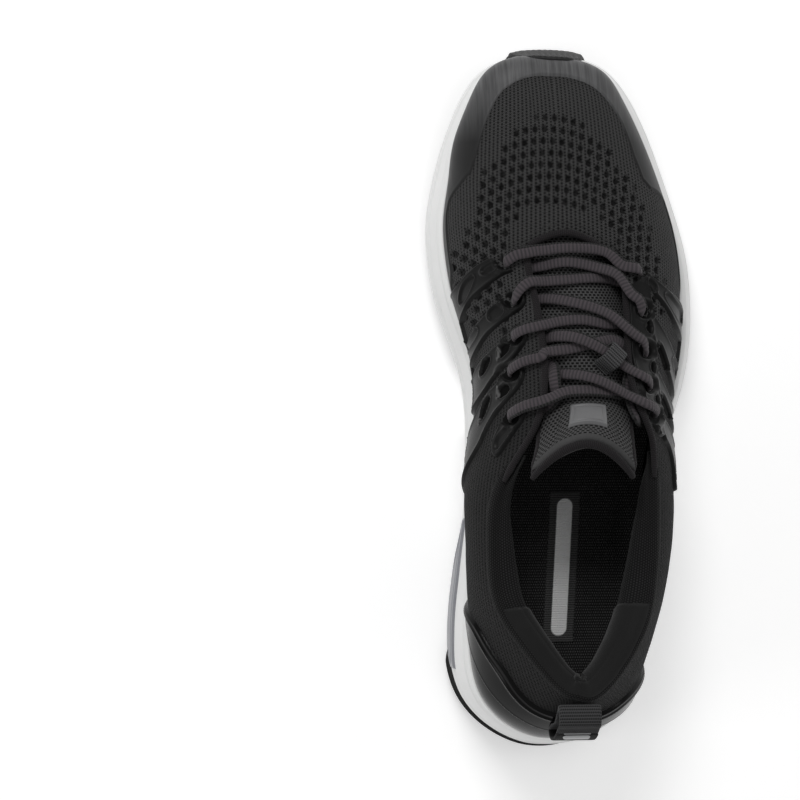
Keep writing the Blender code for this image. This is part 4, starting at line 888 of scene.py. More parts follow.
def knit(name, s, nv, node):
    v = np.concatenate([[-1.0, -0.5, -0.15], np.linspace(0, 1, nv)])
    a, b = np.meshgrid(s, v, indexing="ij")
    p, n = upper(a, b), upper_normal(a, b)
    hole, lip = vents(p[..., 0], p[..., 1])
    live = (b > 0.02)
    edge = ease(b, 0.97, 1.0)
    off = (-1.1 * hole + 0.14 * lip) * live - 0.5 * edge + 0.08 * lumps(p[..., 0], p[..., 1], p[..., 2], seed=3, size=26)
    chart = cloth_chart(p, n)
    # Painted shade: none at the front, growing towards the heel and near the bite line; the knit material darkens by
    # it.
    painted_shade = ease(45 - p[..., 1], 0, 70) * 0.8 + 0.2 * ease(0.35 - b, 0, 0.35)
    obj = shell(name, skin(a, b, off), skin(a, b, np.full(a.shape, -KNIT)), KNIT_MAT, attrs={"chart": chart, "hole": hole * live, "painted_shade": painted_shade})
    return finish_piece(obj, "shoe", "knit", node)


S_L, S_M = s_of("L", 93), s_of("M", 93)
knit("vamp", np.linspace(S_L, S_M, 300), 132, "vamp_knit")
_t = np.linspace(0, 1, 340)
_t = 1 - (1 - _t) * (0.55 + 0.45 * (1 - _t))
knit("quarter_outer", S_L * _t, 92, "quarter_lateral")
knit("quarter_inner", 1 - (1 - S_M) * _t[::-1], 92, "quarter_medial")


# ---------------------------------------------------------------- overlays on the knit: each is a relief that dives under the cloth at its edge
def relief(name, s, v, shape, material, slot, node):
    a, b = np.meshgrid(s, v, indexing="ij")
    p = upper(a, b)
    vt, table = height_above_bite(s)
    h = np.stack([np.interp(v, vt, row) for row in table])
    high, dist, extra = shape(a, p[..., 1], h, p)
    obj = shell(name, skin(a, b, high), skin(a, b, np.full(a.shape, -0.9)), material, cells(dist > -0.7), attrs=extra)
    return finish_piece(obj, "shoe", slot, node)


def cage_relief(straps, pods, windows, recesses, eyelets, highlit_window_edges=(), thick=1.25):
    def shape(s, y, h, p):
        d = np.full(y.shape, -9.0)
        for poly in straps:
            d = np.maximum(d, inside(y, h, poly))
        high = -0.55 + (thick + 0.55) * ease(d, -0.45, 0.75) + 0.32 * np.exp(-((d - 0.95) / 0.45) ** 2) - 0.12 * ease(d, 1.2, 3.5)
        for poly in pods:
            q = inside(y, h, poly)
            high += 0.45 * ease(q, -0.3, 0.8) * (d > 0)
        # Near-black fill for windows and eyelet holes: partly the dark lining behind, partly painted shade inside the
        # openings.
        dark = np.zeros(y.shape)
        for poly in recesses:
            q = inside(y, h, poly)
            high += (0.35 * np.exp(-((q + 0.55) / 0.4) ** 2) - 0.75 * ease(q, -0.25, 0.6)) * (d > 0)
        for poly in windows:
            q = inside(y, h, poly, 1)
            high += 0.38 * np.exp(-((q + 0.6) / 0.4) ** 2) * (d > 0)
            high = high * (1 - ease(q, -0.15, 0.3)) + 0.08 * ease(q, -0.15, 0.3)
            dark = np.maximum(dark, ease(q, -0.1, 0.2))
        for ex, ey in eyelets:
            r = np.hypot(p[..., 0] - ex, p[..., 1] - ey)
            high += 0.4 * np.exp(-((r - 4.6) / 0.6) ** 2) * (d > -0.4)
            high = np.where(d > -0.6, high * ease(r, 3.1, 3.9) + 0.05 * (1 - ease(r, 3.1, 3.9)), high)
            dark = np.maximum(dark, 1 - ease(r, 2.9, 3.6))
        # Painted highlight: light bars on a slight ridge along the lower edges of some medial windows, where the edges
        # catch the light.
        tab = np.zeros(y.shape)
        for seg in highlit_window_edges:
            q = from_line(y, h, seg)
            tab = np.maximum(tab, 1 - ease(q, 0.22, 0.5))
            high += 0.35 * (1 - ease(q, 0.3, 0.8))
        return high, d, {"dark": dark, "tab": tab}
    return shape


MEDIAL_STRAPS = [
    [(62, 51), (60.7, 46.9), (60.1, 41.5), (57.9, 32.4), (53.7, 21.7), (48.7, 13.2), (44.4, 0.5), (43, -8), (29, -8), (30, 3), (35.7, 13.3), (40.9, 20.3),
     (44.9, 28.5), (48.6, 35.9), (51.6, 43.5), (53.2, 49.5), (57.5, 53.5)],
    [(46, 51), (45.4, 46.5), (42.6, 42.0), (38.2, 32.8), (34.4, 27.7), (28.6, 17.1), (22.9, 4.5), (21, -8), (7, -8), (12.8, 6.9), (19.3, 19.5), (26, 28.6),
     (29.8, 36.2), (33.4, 42.6), (36.6, 49.6), (41, 53)],
    [(31, 50), (30.4, 45.5), (26.5, 40), (23, 36.8), (18.5, 27.5), (13.3, 18.2), (7.8, 8.9), (5, -8), (-10, -8), (-8, 8), (-5.5, 16), (1.2, 27.3), (7.9, 34.2), (14, 43.2),
     (20.4, 49.7), (26, 52.5)],
    [(16.5, 49), (15.8, 44), (12, 39.5), (6.3, 37.7), (2.7, 31.2), (-4, 24.8), (-11, 20.5), (-17.5, 13.1), (-21, 2), (-22, -8), (-50, -8), (-46, 8), (-38, 19), (-29, 29),
     (-19.8, 36.8), (-13.1, 38.1), (-6.9, 41.2), (-1.6, 46), (4, 51.3), (10, 53)],
    [(46, -8), (44, 4), (36, 7), (20, 6), (0, 7), (-20, 8), (-42, 9), (-50, -8)],
    [(-3.5, 58.2), (-9, 59), (-17.3, 55.2), (-23.3, 52.1), (-24.6, 49.7), (-22.7, 46.7), (-18.4, 44.9), (-15.2, 45.5), (-8.9, 46.5), (-3, 50)],
]
MEDIAL_PODS = [[(60.5, 50), (58, 40), (54.5, 29), (51, 29), (51, 35), (53, 48), (57, 53)], [(44.5, 49), (42, 40), (36, 30), (31.5, 31), (33, 38), (38, 50)]]
MEDIAL_RECESS = [[(52.6, 30.5), (55.4, 32.5), (57.4, 40), (54.2, 41), (51.8, 34.3)], [(33.2, 31.7), (36.9, 33.2), (39.4, 40.8), (35.2, 41.7), (32.3, 35.2)],
                 [(40.0, 10.5), (46.9, 15.5), (50.8, 22.2), (52.3, 26.9), (46.8, 23.1), (40.5, 16.0)], [(21.9, 1.0), (27.0, 12), (28.7, 17.5), (30.6, 24.6), (25.6, 21.2), (19.0, 6)],
                 [(-9, 56.5), (-14, 55.5), (-20, 51.5), (-22, 49.6), (-19, 47.6), (-14, 48.8)]]
MEDIAL_WINDOWS = [[(15.4, 37.2), (20.6, 36.6), (23.5, 42.5), (20.4, 44.6)], [(8.9, 22.7), (14.9, 24.9), (18.2, 31.8), (14.6, 31.3), (10.3, 27.0)],
                  [(-1.1, 40.6), (4.0, 39.2), (6.3, 44.6), (2.6, 47.7)], [(-10.7, 30.5), (-3.4, 29.0), (1.8, 34.0), (-1.6, 35.3), (-8.3, 34.0)],
                  [(8.6, 9.4), (1.5, 12.8), (-3.8, 14.3), (-2.5, 9.2), (3.8, 6.7)], [(-13.8, 10.7), (-20.2, 18.3), (-28.6, 16.7), (-24, 10)], [(-29, 8), (-31, 18), (-38, 14), (-42, 6)]]
# Window edges on the medial side that get a painted highlight bar.
MEDIAL_HIGHLIT_WINDOW_EDGES = [[(21.0, 37.2), (15.8, 36.8)], [(4.7, 38.8), (-0.2, 40.5)], [(11.6, 22.4), (9.4, 22.2)], [(-9.0, 30.1), (-11.0, 30.8)], [(-13.2, 10.1), (-15.5, 11.0)]]
relief("cage_inner_side", np.linspace(s_of("M", 72), s_of("M", -56), 300), np.linspace(0.0, 0.985, 116),
       cage_relief(MEDIAL_STRAPS, MEDIAL_PODS, MEDIAL_WINDOWS, MEDIAL_RECESS, EYELETS_M, MEDIAL_HIGHLIT_WINDOW_EDGES), CAGE, "cage", "cage_medial")

LATERAL_STRAPS = [
    [(60, 53), (57, 47.5), (51, 43.5), (42, 43.5), (34, 42.5), (24, 43), (12, 42.5), (4, 42), (-6, 41), (-14, 42.5), (-17, 48), (-12, 55.5), (0, 58), (20, 60.5), (40, 60), (54, 58)],
    [(58, 50), (55.1, 46.3), (51.7, 41.5), (46.8, 31.9), (41.7, 16), (37.7, 7.6), (35, -8), (20, -8), (23, 3.7), (30.2, 22.1), (38.4, 33.5), (44.8, 43)],
    [(38, 46), (28.4, 35.8), (22.4, 26.9), (17.9, 20.3), (13, 8), (10, -8), (-4, -8), (-1, 8), (4, 18), (11, 29), (19, 38), (24, 46)],
    [(14, 45), (7, 36), (0, 26), (-5, 14), (-9, -8), (-22, -8), (-19, 8), (-13, 20), (-6, 31), (2, 45)],
    [(-6, 45), (-13, 32), (-21, 22), (-16, 12), (-10, 0), (-12, -8), (-24, -8), (-23.5, 4), (-31.3, 15.6), (-40.4, 26.4), (-37, 31), (-29, 32), (-21, 38), (-16, 47)],
    [(40, -8), (38, 4), (20, 7), (0, 6), (-20, 7), (-26, -8)],
]
LATERAL_RECESS = [[(50.6, 44.2), (47, 38.5), (43.6, 40.2), (45.6, 44.6)], [(33, 18), (37.5, 27), (43, 34), (45.2, 32), (40, 21), (36.5, 9), (31, 8)],
                  [(8, 10), (12.5, 20), (18, 26), (15.5, 17), (11.5, 8)], [(-16, 50), (-12, 53), (-9, 56), (-3, 56.5), (-2, 55), (-9, 53)]]
LATERAL_WINDOWS = [[(26, 46), (30.5, 45), (33, 47.5), (29, 50)], [(9.5, 46), (14, 44.8), (15.6, 47.5), (12, 49.5)], [(-3.5, 45), (0.5, 44), (1.8, 47), (-1.5, 48.6)],
                   [(10.5, 32), (15.5, 36), (20.5, 40.6), (24, 40.2), (17, 33), (13, 28)], [(-9, 30), (-4.5, 36), (0.5, 40.4), (2.5, 38.4), (-3, 30), (-8, 24)],
                   [(-17, 12), (-21, 17), (-27, 24), (-32, 27), (-34, 25), (-26, 15), (-20, 7)]]
relief("cage_outer_side", np.linspace(s_of("L", -48), s_of("L", 74), 300), np.linspace(0.0, 0.985, 116),
       cage_relief(LATERAL_STRAPS, [], LATERAL_WINDOWS, LATERAL_RECESS, EYELETS_L), CAGE, "cage", "cage_lateral")

TOE_EDGE = np.array([(0.345, -3), (0.352, 4), (0.3594, 7.1), (0.3744, 6.9), (0.38, 10.2), (0.3956, 20.7), (0.4075, 24.7), (0.4225, 23.3), (0.4319, 20.4), (0.4413, 17.4), (0.4594, 14.3),
                     (0.4688, 12.5), (0.4794, 10.8), (0.4956, 9.8), (0.51, 10.2), (0.5262, 12.7), (0.5406, 15.0), (0.5494, 17.1), (0.5581, 19.3), (0.5675, 21.5), (0.5781, 23.5),
                     (0.5863, 24.3), (0.5956, 23.6), (0.6106, 16.9), (0.6206, 11.7), (0.6262, 9.3), (0.64, 6.5), (0.6706, 5.8), (0.69, 3), (0.70, -3)])


FILM_L, FILM_M, BAND_TOP = s_of("L", 40), s_of("M", 42), 7.5


def film_shape(s, y, h, p):
    top = np.maximum(np.interp(s, TOE_EDGE[:, 0], TOE_EDGE[:, 1]), BAND_TOP * ease(s, FILM_L - 0.002, FILM_L + 0.02) * ease(FILM_M + 0.002 - s, 0, 0.02))
    slope = np.gradient(top, s[:, 0], axis=0) / 760
    d = (top - h) / np.sqrt(1 + slope ** 2)
    d = np.minimum(d, h + 3)
    high = -0.3 + 0.85 * ease(d, -0.35, 0.35)
    ridge = np.exp(-((d - 0.7) / 0.35) ** 2) * 0.08
    chart = np.stack([p[..., 0], p[..., 1], p[..., 2]], -1)
    high = high + 3.4 * np.exp(-((s - S_TOE) / 0.052) ** 4) * (1 - ease(h, 1, 13)) * ease(d, -0.3, 0.3)
    return high + ridge + 0.04 * lumps(p[..., 0], p[..., 1], p[..., 2], seed=5, size=30), d, {"chart": chart}


relief("toe_film", np.linspace(FILM_L, FILM_M, 420), np.linspace(0.0, 0.62, 90), film_shape, FILM, "film", "toe_cap_film")

COUNTER_TOP = np.array([(0.868, -3), (0.8725, 4), (0.8785, 14), (0.8888, 24.0), (0.9081, 29.0), (0.9231, 33.3), (0.9475, 35.6), (0.9688, 37.8), (0.9844, 38.6), (1.0, 38.0), (1.018, 36.2),
                        (1.0338, 33.6), (1.0537, 29.3), (1.0675, 21), (1.0813, 9.4), (1.09, -3)])
COUNTER_LOW = np.array([(0.868, -9), (0.885, 9.5), (0.90, 9.2), (0.92, 13.5), (0.94, 18.5), (0.96, 21.5), (1.0, 23.5), (1.03, 19), (1.06, 9), (1.09, -9)])


def counter_shape(s, y, h, p):
    smooth = lambda t: np.convolve(np.pad(np.interp(s[:, 0], t[:, 0], t[:, 1]), 12, "edge"), np.hanning(25) / np.hanning(25).sum(), "valid")[:, None]
    top, low = smooth(COUNTER_TOP), smooth(COUNTER_LOW)
    slope = np.gradient(top, s[:, 0], axis=0) / 760
    d = np.minimum((top - h) / np.sqrt(1 + slope ** 2), h + 3)
    high = -0.5 + 2.0 * ease(d, -0.4, 0.8)
    ridge = top - 4.0
    high += 0.7 * np.exp(-((h - ridge) / 0.9) ** 2) * (d > 0.5)
    band = ease(h - low, -0.7, 0.7)
    high -= 0.65 * (1 - band) * ease(d, 0, 1) * ease(low, 0, 6)
    high += 0.35 * np.exp(-((h - low) / 0.6) ** 2) * ease(d, 0, 1) * ease(low, 0, 6)
    return high, d, {}


relief("heel_counter_shell", np.linspace(0.866, 1.092, 220), np.linspace(0.0, 0.8, 110), counter_shape, GLOSS, "gloss", "heel_counter")


# ---------------------------------------------------------------- padded collar: rolls over the top line and down inside
def collar(name, s0, s1, nu, flip, node):
    s = np.linspace(s0, s1, nu)
    w = np.linspace(0, 1, nu)
    if flip:
        w = w[::-1]
    thick = np.interp(w, [0, 0.1, 0.3, 0.5, 0.85, 1], [2.2, 6.5, 11.5, 13.0, 11.5, 9.0])
    thick = thick + (1.9 if flip else 0.5) * np.sin(np.pi * np.linspace(0, 1, nu)) ** 0.6
    thick = np.convolve(np.pad(thick, 9, "edge"), np.ones(19) / 19, "valid")
    t_in = np.linspace(0.93, 0, 46)
    a, b = np.meshgrid(s, t_in, indexing="ij")
    th = np.repeat(thick[:, None], len(t_in), 1)
    face = pad_section(a, th, b)
    n = upper_normal(s, np.full(nu, 0.9))
    top = top_line(s)[:, :3]
    taper = ease(w, 0.0, 0.16)
    lip = [skin(s, np.full(nu, v), np.full(nu, o)) for v, o in ((0.915, -0.25), (0.93, 0.45), (0.96, 0.95))]
    lip = [q - n * (0.75 * (1 - taper))[:, None] for q in lip]
    up = np.array([0, 0, 1.0])
    tp = taper[:, None]
    crest = [top + n * (0.7 * tp - 0.3) + up * (1.0 * tp - 0.3), top - n * 0.9 + up * (1.9 * tp - 0.2), top - n * 2.8 + up * (1.7 * tp - 0.6)]
    roll = np.stack(lip + crest, 1)
    rough = np.concatenate([roll, face], 1)
    key = np.concatenate([[0], np.cumsum(np.linalg.norm(np.diff(rough, axis=1), axis=2).mean(0))])
    fine_key = np.linspace(0, key[-1], 84)
    grid = np.stack([[np.interp(fine_key, key, rough[i, :, c]) for c in range(3)] for i in range(nu)]).transpose(0, 2, 1)
    for _ in range(5):
        grid[:, 1:-1] = grid[:, 1:-1] * 0.5 + (grid[:, 2:] + grid[:, :-2]) * 0.25
    d_s, d_t = np.gradient(grid, axis=0), np.gradient(grid, axis=1)
    nn = np.cross(d_s, d_t)
    nn /= np.linalg.norm(nn, axis=-1, keepdims=True) + 1e-9
    arc = fine_key[None] + 0 * s[:, None]
    x, y, z = grid[..., 0], grid[..., 1], grid[..., 2]
    puff = 0.3 * lumps(x, y, z, seed=9, size=30)
    seam = -0.45 * np.exp(-((arc - 13.5) / 0.8) ** 2) * taper[:, None]
    rest = ease(arc, 3, 9) * ease(key[-1] - arc, 0, 6)
    grid = grid + nn * ((puff + seam) * rest)[..., None]
    vb = np.interp(fine_key, [0, key[3], key[5], key[8], key[-1]], [0.915, 0.96, 0.965, 0.95, 0.34])
    ob = np.interp(fine_key, [0, key[2], key[4], key[7], key[-1]], [-0.6, -0.7, -1.0, -KNIT - 0.3, -KNIT - 0.4])
    aa, bb = np.meshgrid(s, vb, indexing="ij")
    back = skin(aa, bb, np.broadcast_to(ob, aa.shape))
    along = np.concatenate([[0], np.cumsum(np.linalg.norm(np.diff(top, axis=0), axis=1))])
    chart = np.stack([along[:, None] + 0 * arc, arc, 0 * arc], -1)
    obj = shell(name, grid, back, LINING, attrs={"chart": chart})
    finish_piece(obj, "shoe", "lining", node)
    return s, grid, arc


S_CL, S_CM = s_of("L", -22), s_of("M", -24)
LAT_COLLAR = collar("collar_outer_side", 0.0, S_CL, 170, True, "collar_pad_lateral")
MED_COLLAR = collar("collar_inner_side", S_CM, 1.0, 170, False, "collar_pad_medial")


def grip(name, collar_grid, s_lo, s_hi, node):
    """Suede pad on the inside of the collar at the heel."""
    s, grid, arc = collar_grid
    pick = (s >= s_lo) & (s <= s_hi)
    g, ar = grid[pick], arc[pick]
    cols = (ar[0] > 5.2) & (ar[0] < ar[0].max() - 9)
    g, ar = g[:, cols], ar[:, cols]
    for axis in (0, 1):
        g = np.repeat(g, 2, axis)
        ar = np.repeat(ar, 2, axis)
        if axis == 0:
            g[1:-1:2] = (g[1:-1:2] + g[2::2]) / 2
            ar[1:-1:2] = (ar[1:-1:2] + ar[2::2]) / 2
        else:
            g[:, 1:-1:2] = (g[:, 1:-1:2] + g[:, 2::2]) / 2
            ar[:, 1:-1:2] = (ar[:, 1:-1:2] + ar[:, 2::2]) / 2
    g, ar = g[:-1, :-1], ar[:-1, :-1]
    n = np.cross(np.gradient(g, axis=0), np.gradient(g, axis=1))
    n /= np.linalg.norm(n, axis=-1, keepdims=True) + 1e-9
    step = np.linalg.norm(np.diff(g, axis=0), axis=2).mean(1)
    run = np.concatenate([[0], np.cumsum(step)])[:, None] + 0 * ar
    lat = s_lo < 0.5
    front = (run[-1:] - run) if lat else run
    back = run if lat else (run[-1:] - run)
    k = (ar - ar.min()) / (ar.max() - ar.min())
    d = np.minimum(np.minimum(ar - ar.min(), ar.max() - ar), np.minimum(back + 3.0, front - 12 * k ** 1.6))
    high = -0.4 + 1.15 * ease(d, -0.3, 2.6) + 0.12 * lumps(g[..., 0], g[..., 1], g[..., 2], seed=11, size=12)
    obj = shell(name, g + n * high[..., None], g - n * 0.9, SUEDE, cells(d > -0.6))
    return finish_piece(obj, "shoe", "suede", node)


grip("grip_outer_side", LAT_COLLAR, 0.0, s_of("L", -92), "heel_grip_lateral")
grip("grip_inner_side", MED_COLLAR, s_of("M", -90), 1.0, "heel_grip_medial")


# ---------------------------------------------------------------- tongue: one padded piece over both frame nodes
def tongue_grid(b0, b1, nb, na=110):
    a, b = np.meshgrid(np.linspace(-1, 1, na), np.linspace(b0, b1, nb), indexing="ij")
    mid = tongue_face(np.zeros(nb), np.linspace(b0, b1, nb))
    along = np.concatenate([[0], np.cumsum(np.linalg.norm(np.diff(mid, axis=0), axis=1))])
    row = tongue_face(a, b)
    across = np.concatenate([np.zeros((1, nb)), np.cumsum(np.linalg.norm(np.diff(row, axis=0), axis=2), 0)], 0)
    across -= across[na // 2]
    return a, b, np.stack([across, -along[None] + 0 * across, 0 * across], -1)


a, b, chart = tongue_grid(0.0, 8.72, 190)
thick = tongue_line(b)[..., 6] * (1 - 0.55 * abs(a) ** 3)
p = tongue_face(a, b)
fan = ease(b, 5.6, 7.2)
pad = 1.5 * ease(b, 6.1, 7.4) * np.cos(a * math.pi / 2) ** 0.7 - 0.7 * np.exp(-((b - 6.25) / 0.16) ** 2)
seat = -1.4 * np.exp(-((abs(a) - 0.62) / 0.07) ** 2) * ease(b, 6.6, 7.3) * ease(8.7, b, b + 0.3)
off = pad + 0.25 * lumps(p[..., 0], p[..., 1], p[..., 2], seed=21, size=16) * fan - 0.9 * ease(abs(a), 0.94, 1.0)
off += seat * 0.6
top = tongue_face(a, b, off + 1e-6)
low = tongue_face(a, b, -thick)
tongue = shell("tongue_padded", top, low, MESH_MAT, attrs={"chart": chart})
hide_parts("tongue", "tongue_top")


h0, h1 = tongue_face(0.0, TONGUE_HINGE - 0.45), tongue_face(0.0, TONGUE_HINGE + 0.55)
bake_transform(tongue)

# Rolled top binding of the tongue
na = 150
aa = np.linspace(-1.03, 1.03, na)
edge_line = tongue_face(aa, np.full(na, 8.78), np.full(na, -2.6))
before = tongue_face(aa, np.full(na, 8.5), np.full(na, -2.6))
out = (edge_line - before) / np.linalg.norm(edge_line - before, axis=1, keepdims=True)
path = edge_line + out * 1.35
ang = np.linspace(0, 2 * math.pi, 21)[:-1]
k, t = np.meshgrid(np.arange(na), ang, indexing="ij")
arc = np.concatenate([[0], np.cumsum(np.linalg.norm(np.diff(path, axis=0), axis=1))])[:, None] + 0 * t
swell = 1.75 * (0.55 + 0.45 * np.sin(np.linspace(0, math.pi, na)) ** 0.35)[:, None] + 0.10 * lumps(arc, t, seed=4, size=9)
grid = sweep(path, [[0, 0, 1.0]] * na, (swell * np.cos(t), swell * np.sin(t)), 0.5)
piece = tube_mesh("tongue_top_binding", grid, BINDING, {"chart": np.stack([t * 2.6, arc, 0 * arc], -1)})
finish_piece(piece, "tongue_flap", "binding", "tongue_binding")

for side, word in ((-1, "inner"), (1, "outer")):
    bb = np.linspace(6.35, 8.78, 90)
    turn = ease(bb, 8.3, 8.78)
    path = tongue_face(np.full(90, side * 1.0), bb, -1.2 - 1.4 * turn) + turn[:, None] * 1.35 * out[2 if side < 0 else -3]
    k, t = np.meshgrid(np.arange(90), ang, indexing="ij")
    arc = np.concatenate([[0], np.cumsum(np.linalg.norm(np.diff(path, axis=0), axis=1))])[:, None] + 0 * t
    r = (1.1 + 0.5 * ease(arc, 0, 14)) * (1 - 0.25 * turn[:, None]) * (1 + 0.01 * np.cos(arc * 2 * math.pi / 1.3)) + 0.1 * lumps(arc, t, seed=14, size=9)
    grid = sweep(path, [[0, 0, 1.0]] * 90, (r * np.cos(t), r * np.sin(t)), 0.5)
    piece = tube_mesh("tongue_binding_" + word, grid, BINDING, {"chart": np.stack([t * 2.4, arc, 0 * arc], -1)})
    finish_piece(piece, "tongue_flap", "binding")

# Blank moulded label with a plain raised frame
a, b = np.meshgrid(np.linspace(-0.37, 0.36, 54), np.linspace(6.55, 7.9, 72), indexing="ij")
p = tongue_face(a, b)
u = np.linalg.norm(np.diff(p, axis=0), axis=2)[:, 30].cumsum()
w = np.linalg.norm(np.diff(p, axis=1), axis=2)[26].cumsum()
u, w = np.concatenate([[0], u])[:, None] + 0 * a, np.concatenate([[0], w])[None] + 0 * a
d = np.minimum(np.minimum(u, u.max() - u), np.minimum(w, w.max() - w))
pad_off = 1.5 * ease(b, 6.1, 7.4) * np.cos(a * math.pi / 2) ** 0.7
high = pad_off + 0.2 + 1.0 * ease(d, 0, 0.7) - 0.28 * np.exp(-((d - 1.9) / 0.32) ** 2)
piece = shell("tongue_badge", tongue_face(a, b, high), tongue_face(a, b, pad_off - 0.6), LABEL)
finish_piece(piece, "tongue_flap", "label", "tongue_label")

# ---------------------------------------------------------------- rolled edge of the throat, and its stitches
s = np.concatenate([np.linspace(s_of("L", -34), s_of("L", 100), 170)[:-1], np.linspace(s_of("L", 100), s_of("M", 100), 120)[:-1], np.linspace(s_of("M", 100), s_of("M", -36), 170)])
one = np.ones(len(s))
n = upper_normal(s, one * 0.97)
e = upper(s, one) - upper(s, one * 0.9)
e /= np.linalg.norm(e, axis=1, keepdims=True)
path = upper(s, one) + e * 0.7 - n * 0.35
for _ in range(6):
    path[1:-1] = path[1:-1] * 0.5 + (path[2:] + path[:-2]) * 0.25
k, t = np.meshgrid(np.arange(len(s)), np.linspace(0, 2 * math.pi, 17)[:-1], indexing="ij")
arc = np.concatenate([[0], np.cumsum(np.linalg.norm(np.diff(path, axis=0), axis=1))])[:, None] + 0 * t
r = (1.5 + 0.05 * np.cos(arc * 2 * math.pi / 1.15) + 0.08 * lumps(arc, t, seed=8, size=14)) * (0.6 + 0.4 * ease(arc, 0, 5) * ease(arc.max() - arc, 0, 5))
grid = sweep(path, n, (r * np.cos(t), 0.85 * r * np.sin(t)), 0.5)
piece = tube_mesh("throat_edge", grid, BINDING, {"chart": np.stack([t * 1.5, arc, 0 * arc], -1)})
finish_piece(piece, "shoe", "binding", "throat_binding")
front = (s > s_of("L", 66)) & (s < s_of("M", 66))
vs = 1 - 3.1 / np.linalg.norm(upper(s, one) - upper(s, one * 0), axis=1)
line = skin(s, vs, one * 0.05)[front]
piece = stitches("throat_stitches", line, n[front], THREAD, 1.7, 1.2)
finish_piece(piece, "shoe", "binding")

# ---------------------------------------------------------------- lace, on the same route as in the frame
def over(x, y, h, tongue=False):
    if tongue:
        a, b = tongue_at(x, y)
        p = tongue_face(a, b)
        z = p[2]
        n = tongue_face(a, b, 1.0) - p
    else:
        s, v = upper_at(x, y)
        z = upper(s, v)[2]
        n = upper_normal(s, v)
    return np.array([x, y, z]) + np.array(n) * h, np.array(n)


def lace_path():
    pts = []

    def hole(k, side):
        x, y = (EYELETS_M if side < 0 else EYELETS_L)[k]
        s, v = upper_at(x, y)
        c, n = upper(s, v), upper_normal(s, v)
        sideways = np.array([side, 0.0, 0.0])
        stack = [(c + n * 3.7 - sideways * 2.4, n), (c - n * 0.2 - sideways * 0.4, sideways), (c - n * 3.9 - sideways * 2.2, n)]
        pts.extend(stack)

    return pts, hole


keys, hole = lace_path()
LT = LACE_T / 2


def tongue_pts(rows):
    for x, y, h in rows:
        p, n = over(x, y, h + LT, True)
        keys.append((p, n))


def edge_pt(x, y, h):
    s, v = upper_at(x, y)
    n = upper_normal(s, v)
    keys.append((upper(s, v) + n * h, n))


# end on the lateral side, tucked under the eyestay
tuck = lambda x, y: [(skin(np.array(upper_at(x, y)[0]), np.array(v), np.array(-4.4)), np.array([1.0, 0, 0.6])) for v in (0.62, 0.76, 0.9)]
edge = lambda x, y: keys.append((skin(*map(np.array, upper_at(x, y)), np.array(-3.7)), np.array(upper_normal(*upper_at(x, y)))))


def into(k, side, x, y):
    """Over the throat edge at x, y and down into eyelet k."""
    ex, ey = (EYELETS_M if side < 0 else EYELETS_L)[k]
    edge_pt(x, y, 3.7)
    edge_pt(x + (ex - x) * 0.45, y + (ey - y) * 0.45, 4.1)
    hole(k, side)


def out_of(k, side, x, y):
    """Up through eyelet k from below and back over the throat edge at x, y."""
    ex, ey = (EYELETS_M if side < 0 else EYELETS_L)[k]
    hole(k, side)
    keys[-3:] = keys[-3:][::-1]
    edge_pt(x + (ex - x) * 0.45, y + (ey - y) * 0.45, 3.7)
    edge_pt(x, y, 3.4)


keys += tuck(34.0, 13.0)
tongue_pts([(26.0, 11.0, 1.2), (25.0, 6.5, 1.2), (25.5, 1.5, 1.2)])
edge(32.0, -4.0)
# Row 8: R5 over the lateral edge to the medial edge
out_of(4, 1, 31.5, -2.5)
tongue_pts([(22.0, 2.5, 5.0), (11.0, 9.2, 4.6), (3.0, 11.8, 2.6), (-4.0, 11.8, 0.8)])
edge(-11.5, 11.0)
# Row 7: L4 to the lateral edge, under row 6
out_of(3, -1, -11.0, 16.2)
edge_pt(-8.3, 18.0, 3.6)
tongue_pts([(-3.0, 20.0, 6.8), (4.0, 22.6, 2.0), (13.0, 25.2, 1.2), (22.0, 26.4, 0.9)])
edge(31.0, 23.6)
# Row 4: R3 to the medial edge
out_of(2, 1, 30.5, 26.5)
tongue_pts([(18.0, 35.5, 4.6), (5.0, 41.5, 3.0), (-4.5, 43.6, 1.4)])
edge(-12.6, 43.5)
# Row 3: L2 to the lateral edge, under row 2
out_of(1, -1, -12.0, 48.0)
tongue_pts([(-3.5, 50.2, 3.4), (4.0, 51.5, 1.4), (14.0, 52.3, 1.2), (22.0, 52.2, 0.8)])
edge(30.6, 52.8)
# Row 1: straight bar at the toe end, R1 to L1
out_of(0, 1, 28.0, 57.5)
tongue_pts([(18.0, 61.8, 6.0), (6.0, 63.8, 5.8), (-4.0, 63.3, 5.8)])
into(0, -1, -13.0, 61.0)
# Row 2: from under the medial edge to R2
edge(-13.8, 57.0)
tongue_pts([(-5.0, 57.6, 1.4), (4.0, 58.6, 3.2), (15.0, 55.8, 3.8), (21.0, 51.5, 6.6)])
into(1, 1, 30.0, 44.0)
# Row 5: from under the lateral edge to L3, under row 4
edge(31.0, 35.5)
tongue_pts([(23.5, 33.4, 0.8), (18.0, 33.0, 1.2), (9.0, 34.6, 1.3), (-1.0, 33.0, 3.4)])
into(2, -1, -10.5, 30.0)
# Row 6: from under the medial edge, over row 7 and through the keeper to R4
edge(-11.6, 26.5)
tongue_pts([(-5.0, 27.0, 0.9), (0.0, 27.4, 3.4), (7.0, 25.6, 5.2), (16.0, 20.3, 4.6), (23.0, 14.3, 4.6)])
into(3, 1, 30.0, 9.5)
# Row 9: from under the lateral edge to L5, under row 8
keys.append((skin(*map(np.array, upper_at(31.0, 3.6)), np.array(-3.3)), np.array(upper_normal(*upper_at(31.0, 3.6)))))
tongue_pts([(27.5, 4.2, 1.5), (21.0, 4.2, 1.5), (10.0, 4.8, 1.6), (1.0, 2.8, 3.6)])
into(4, -1, -10.5, -1.5)
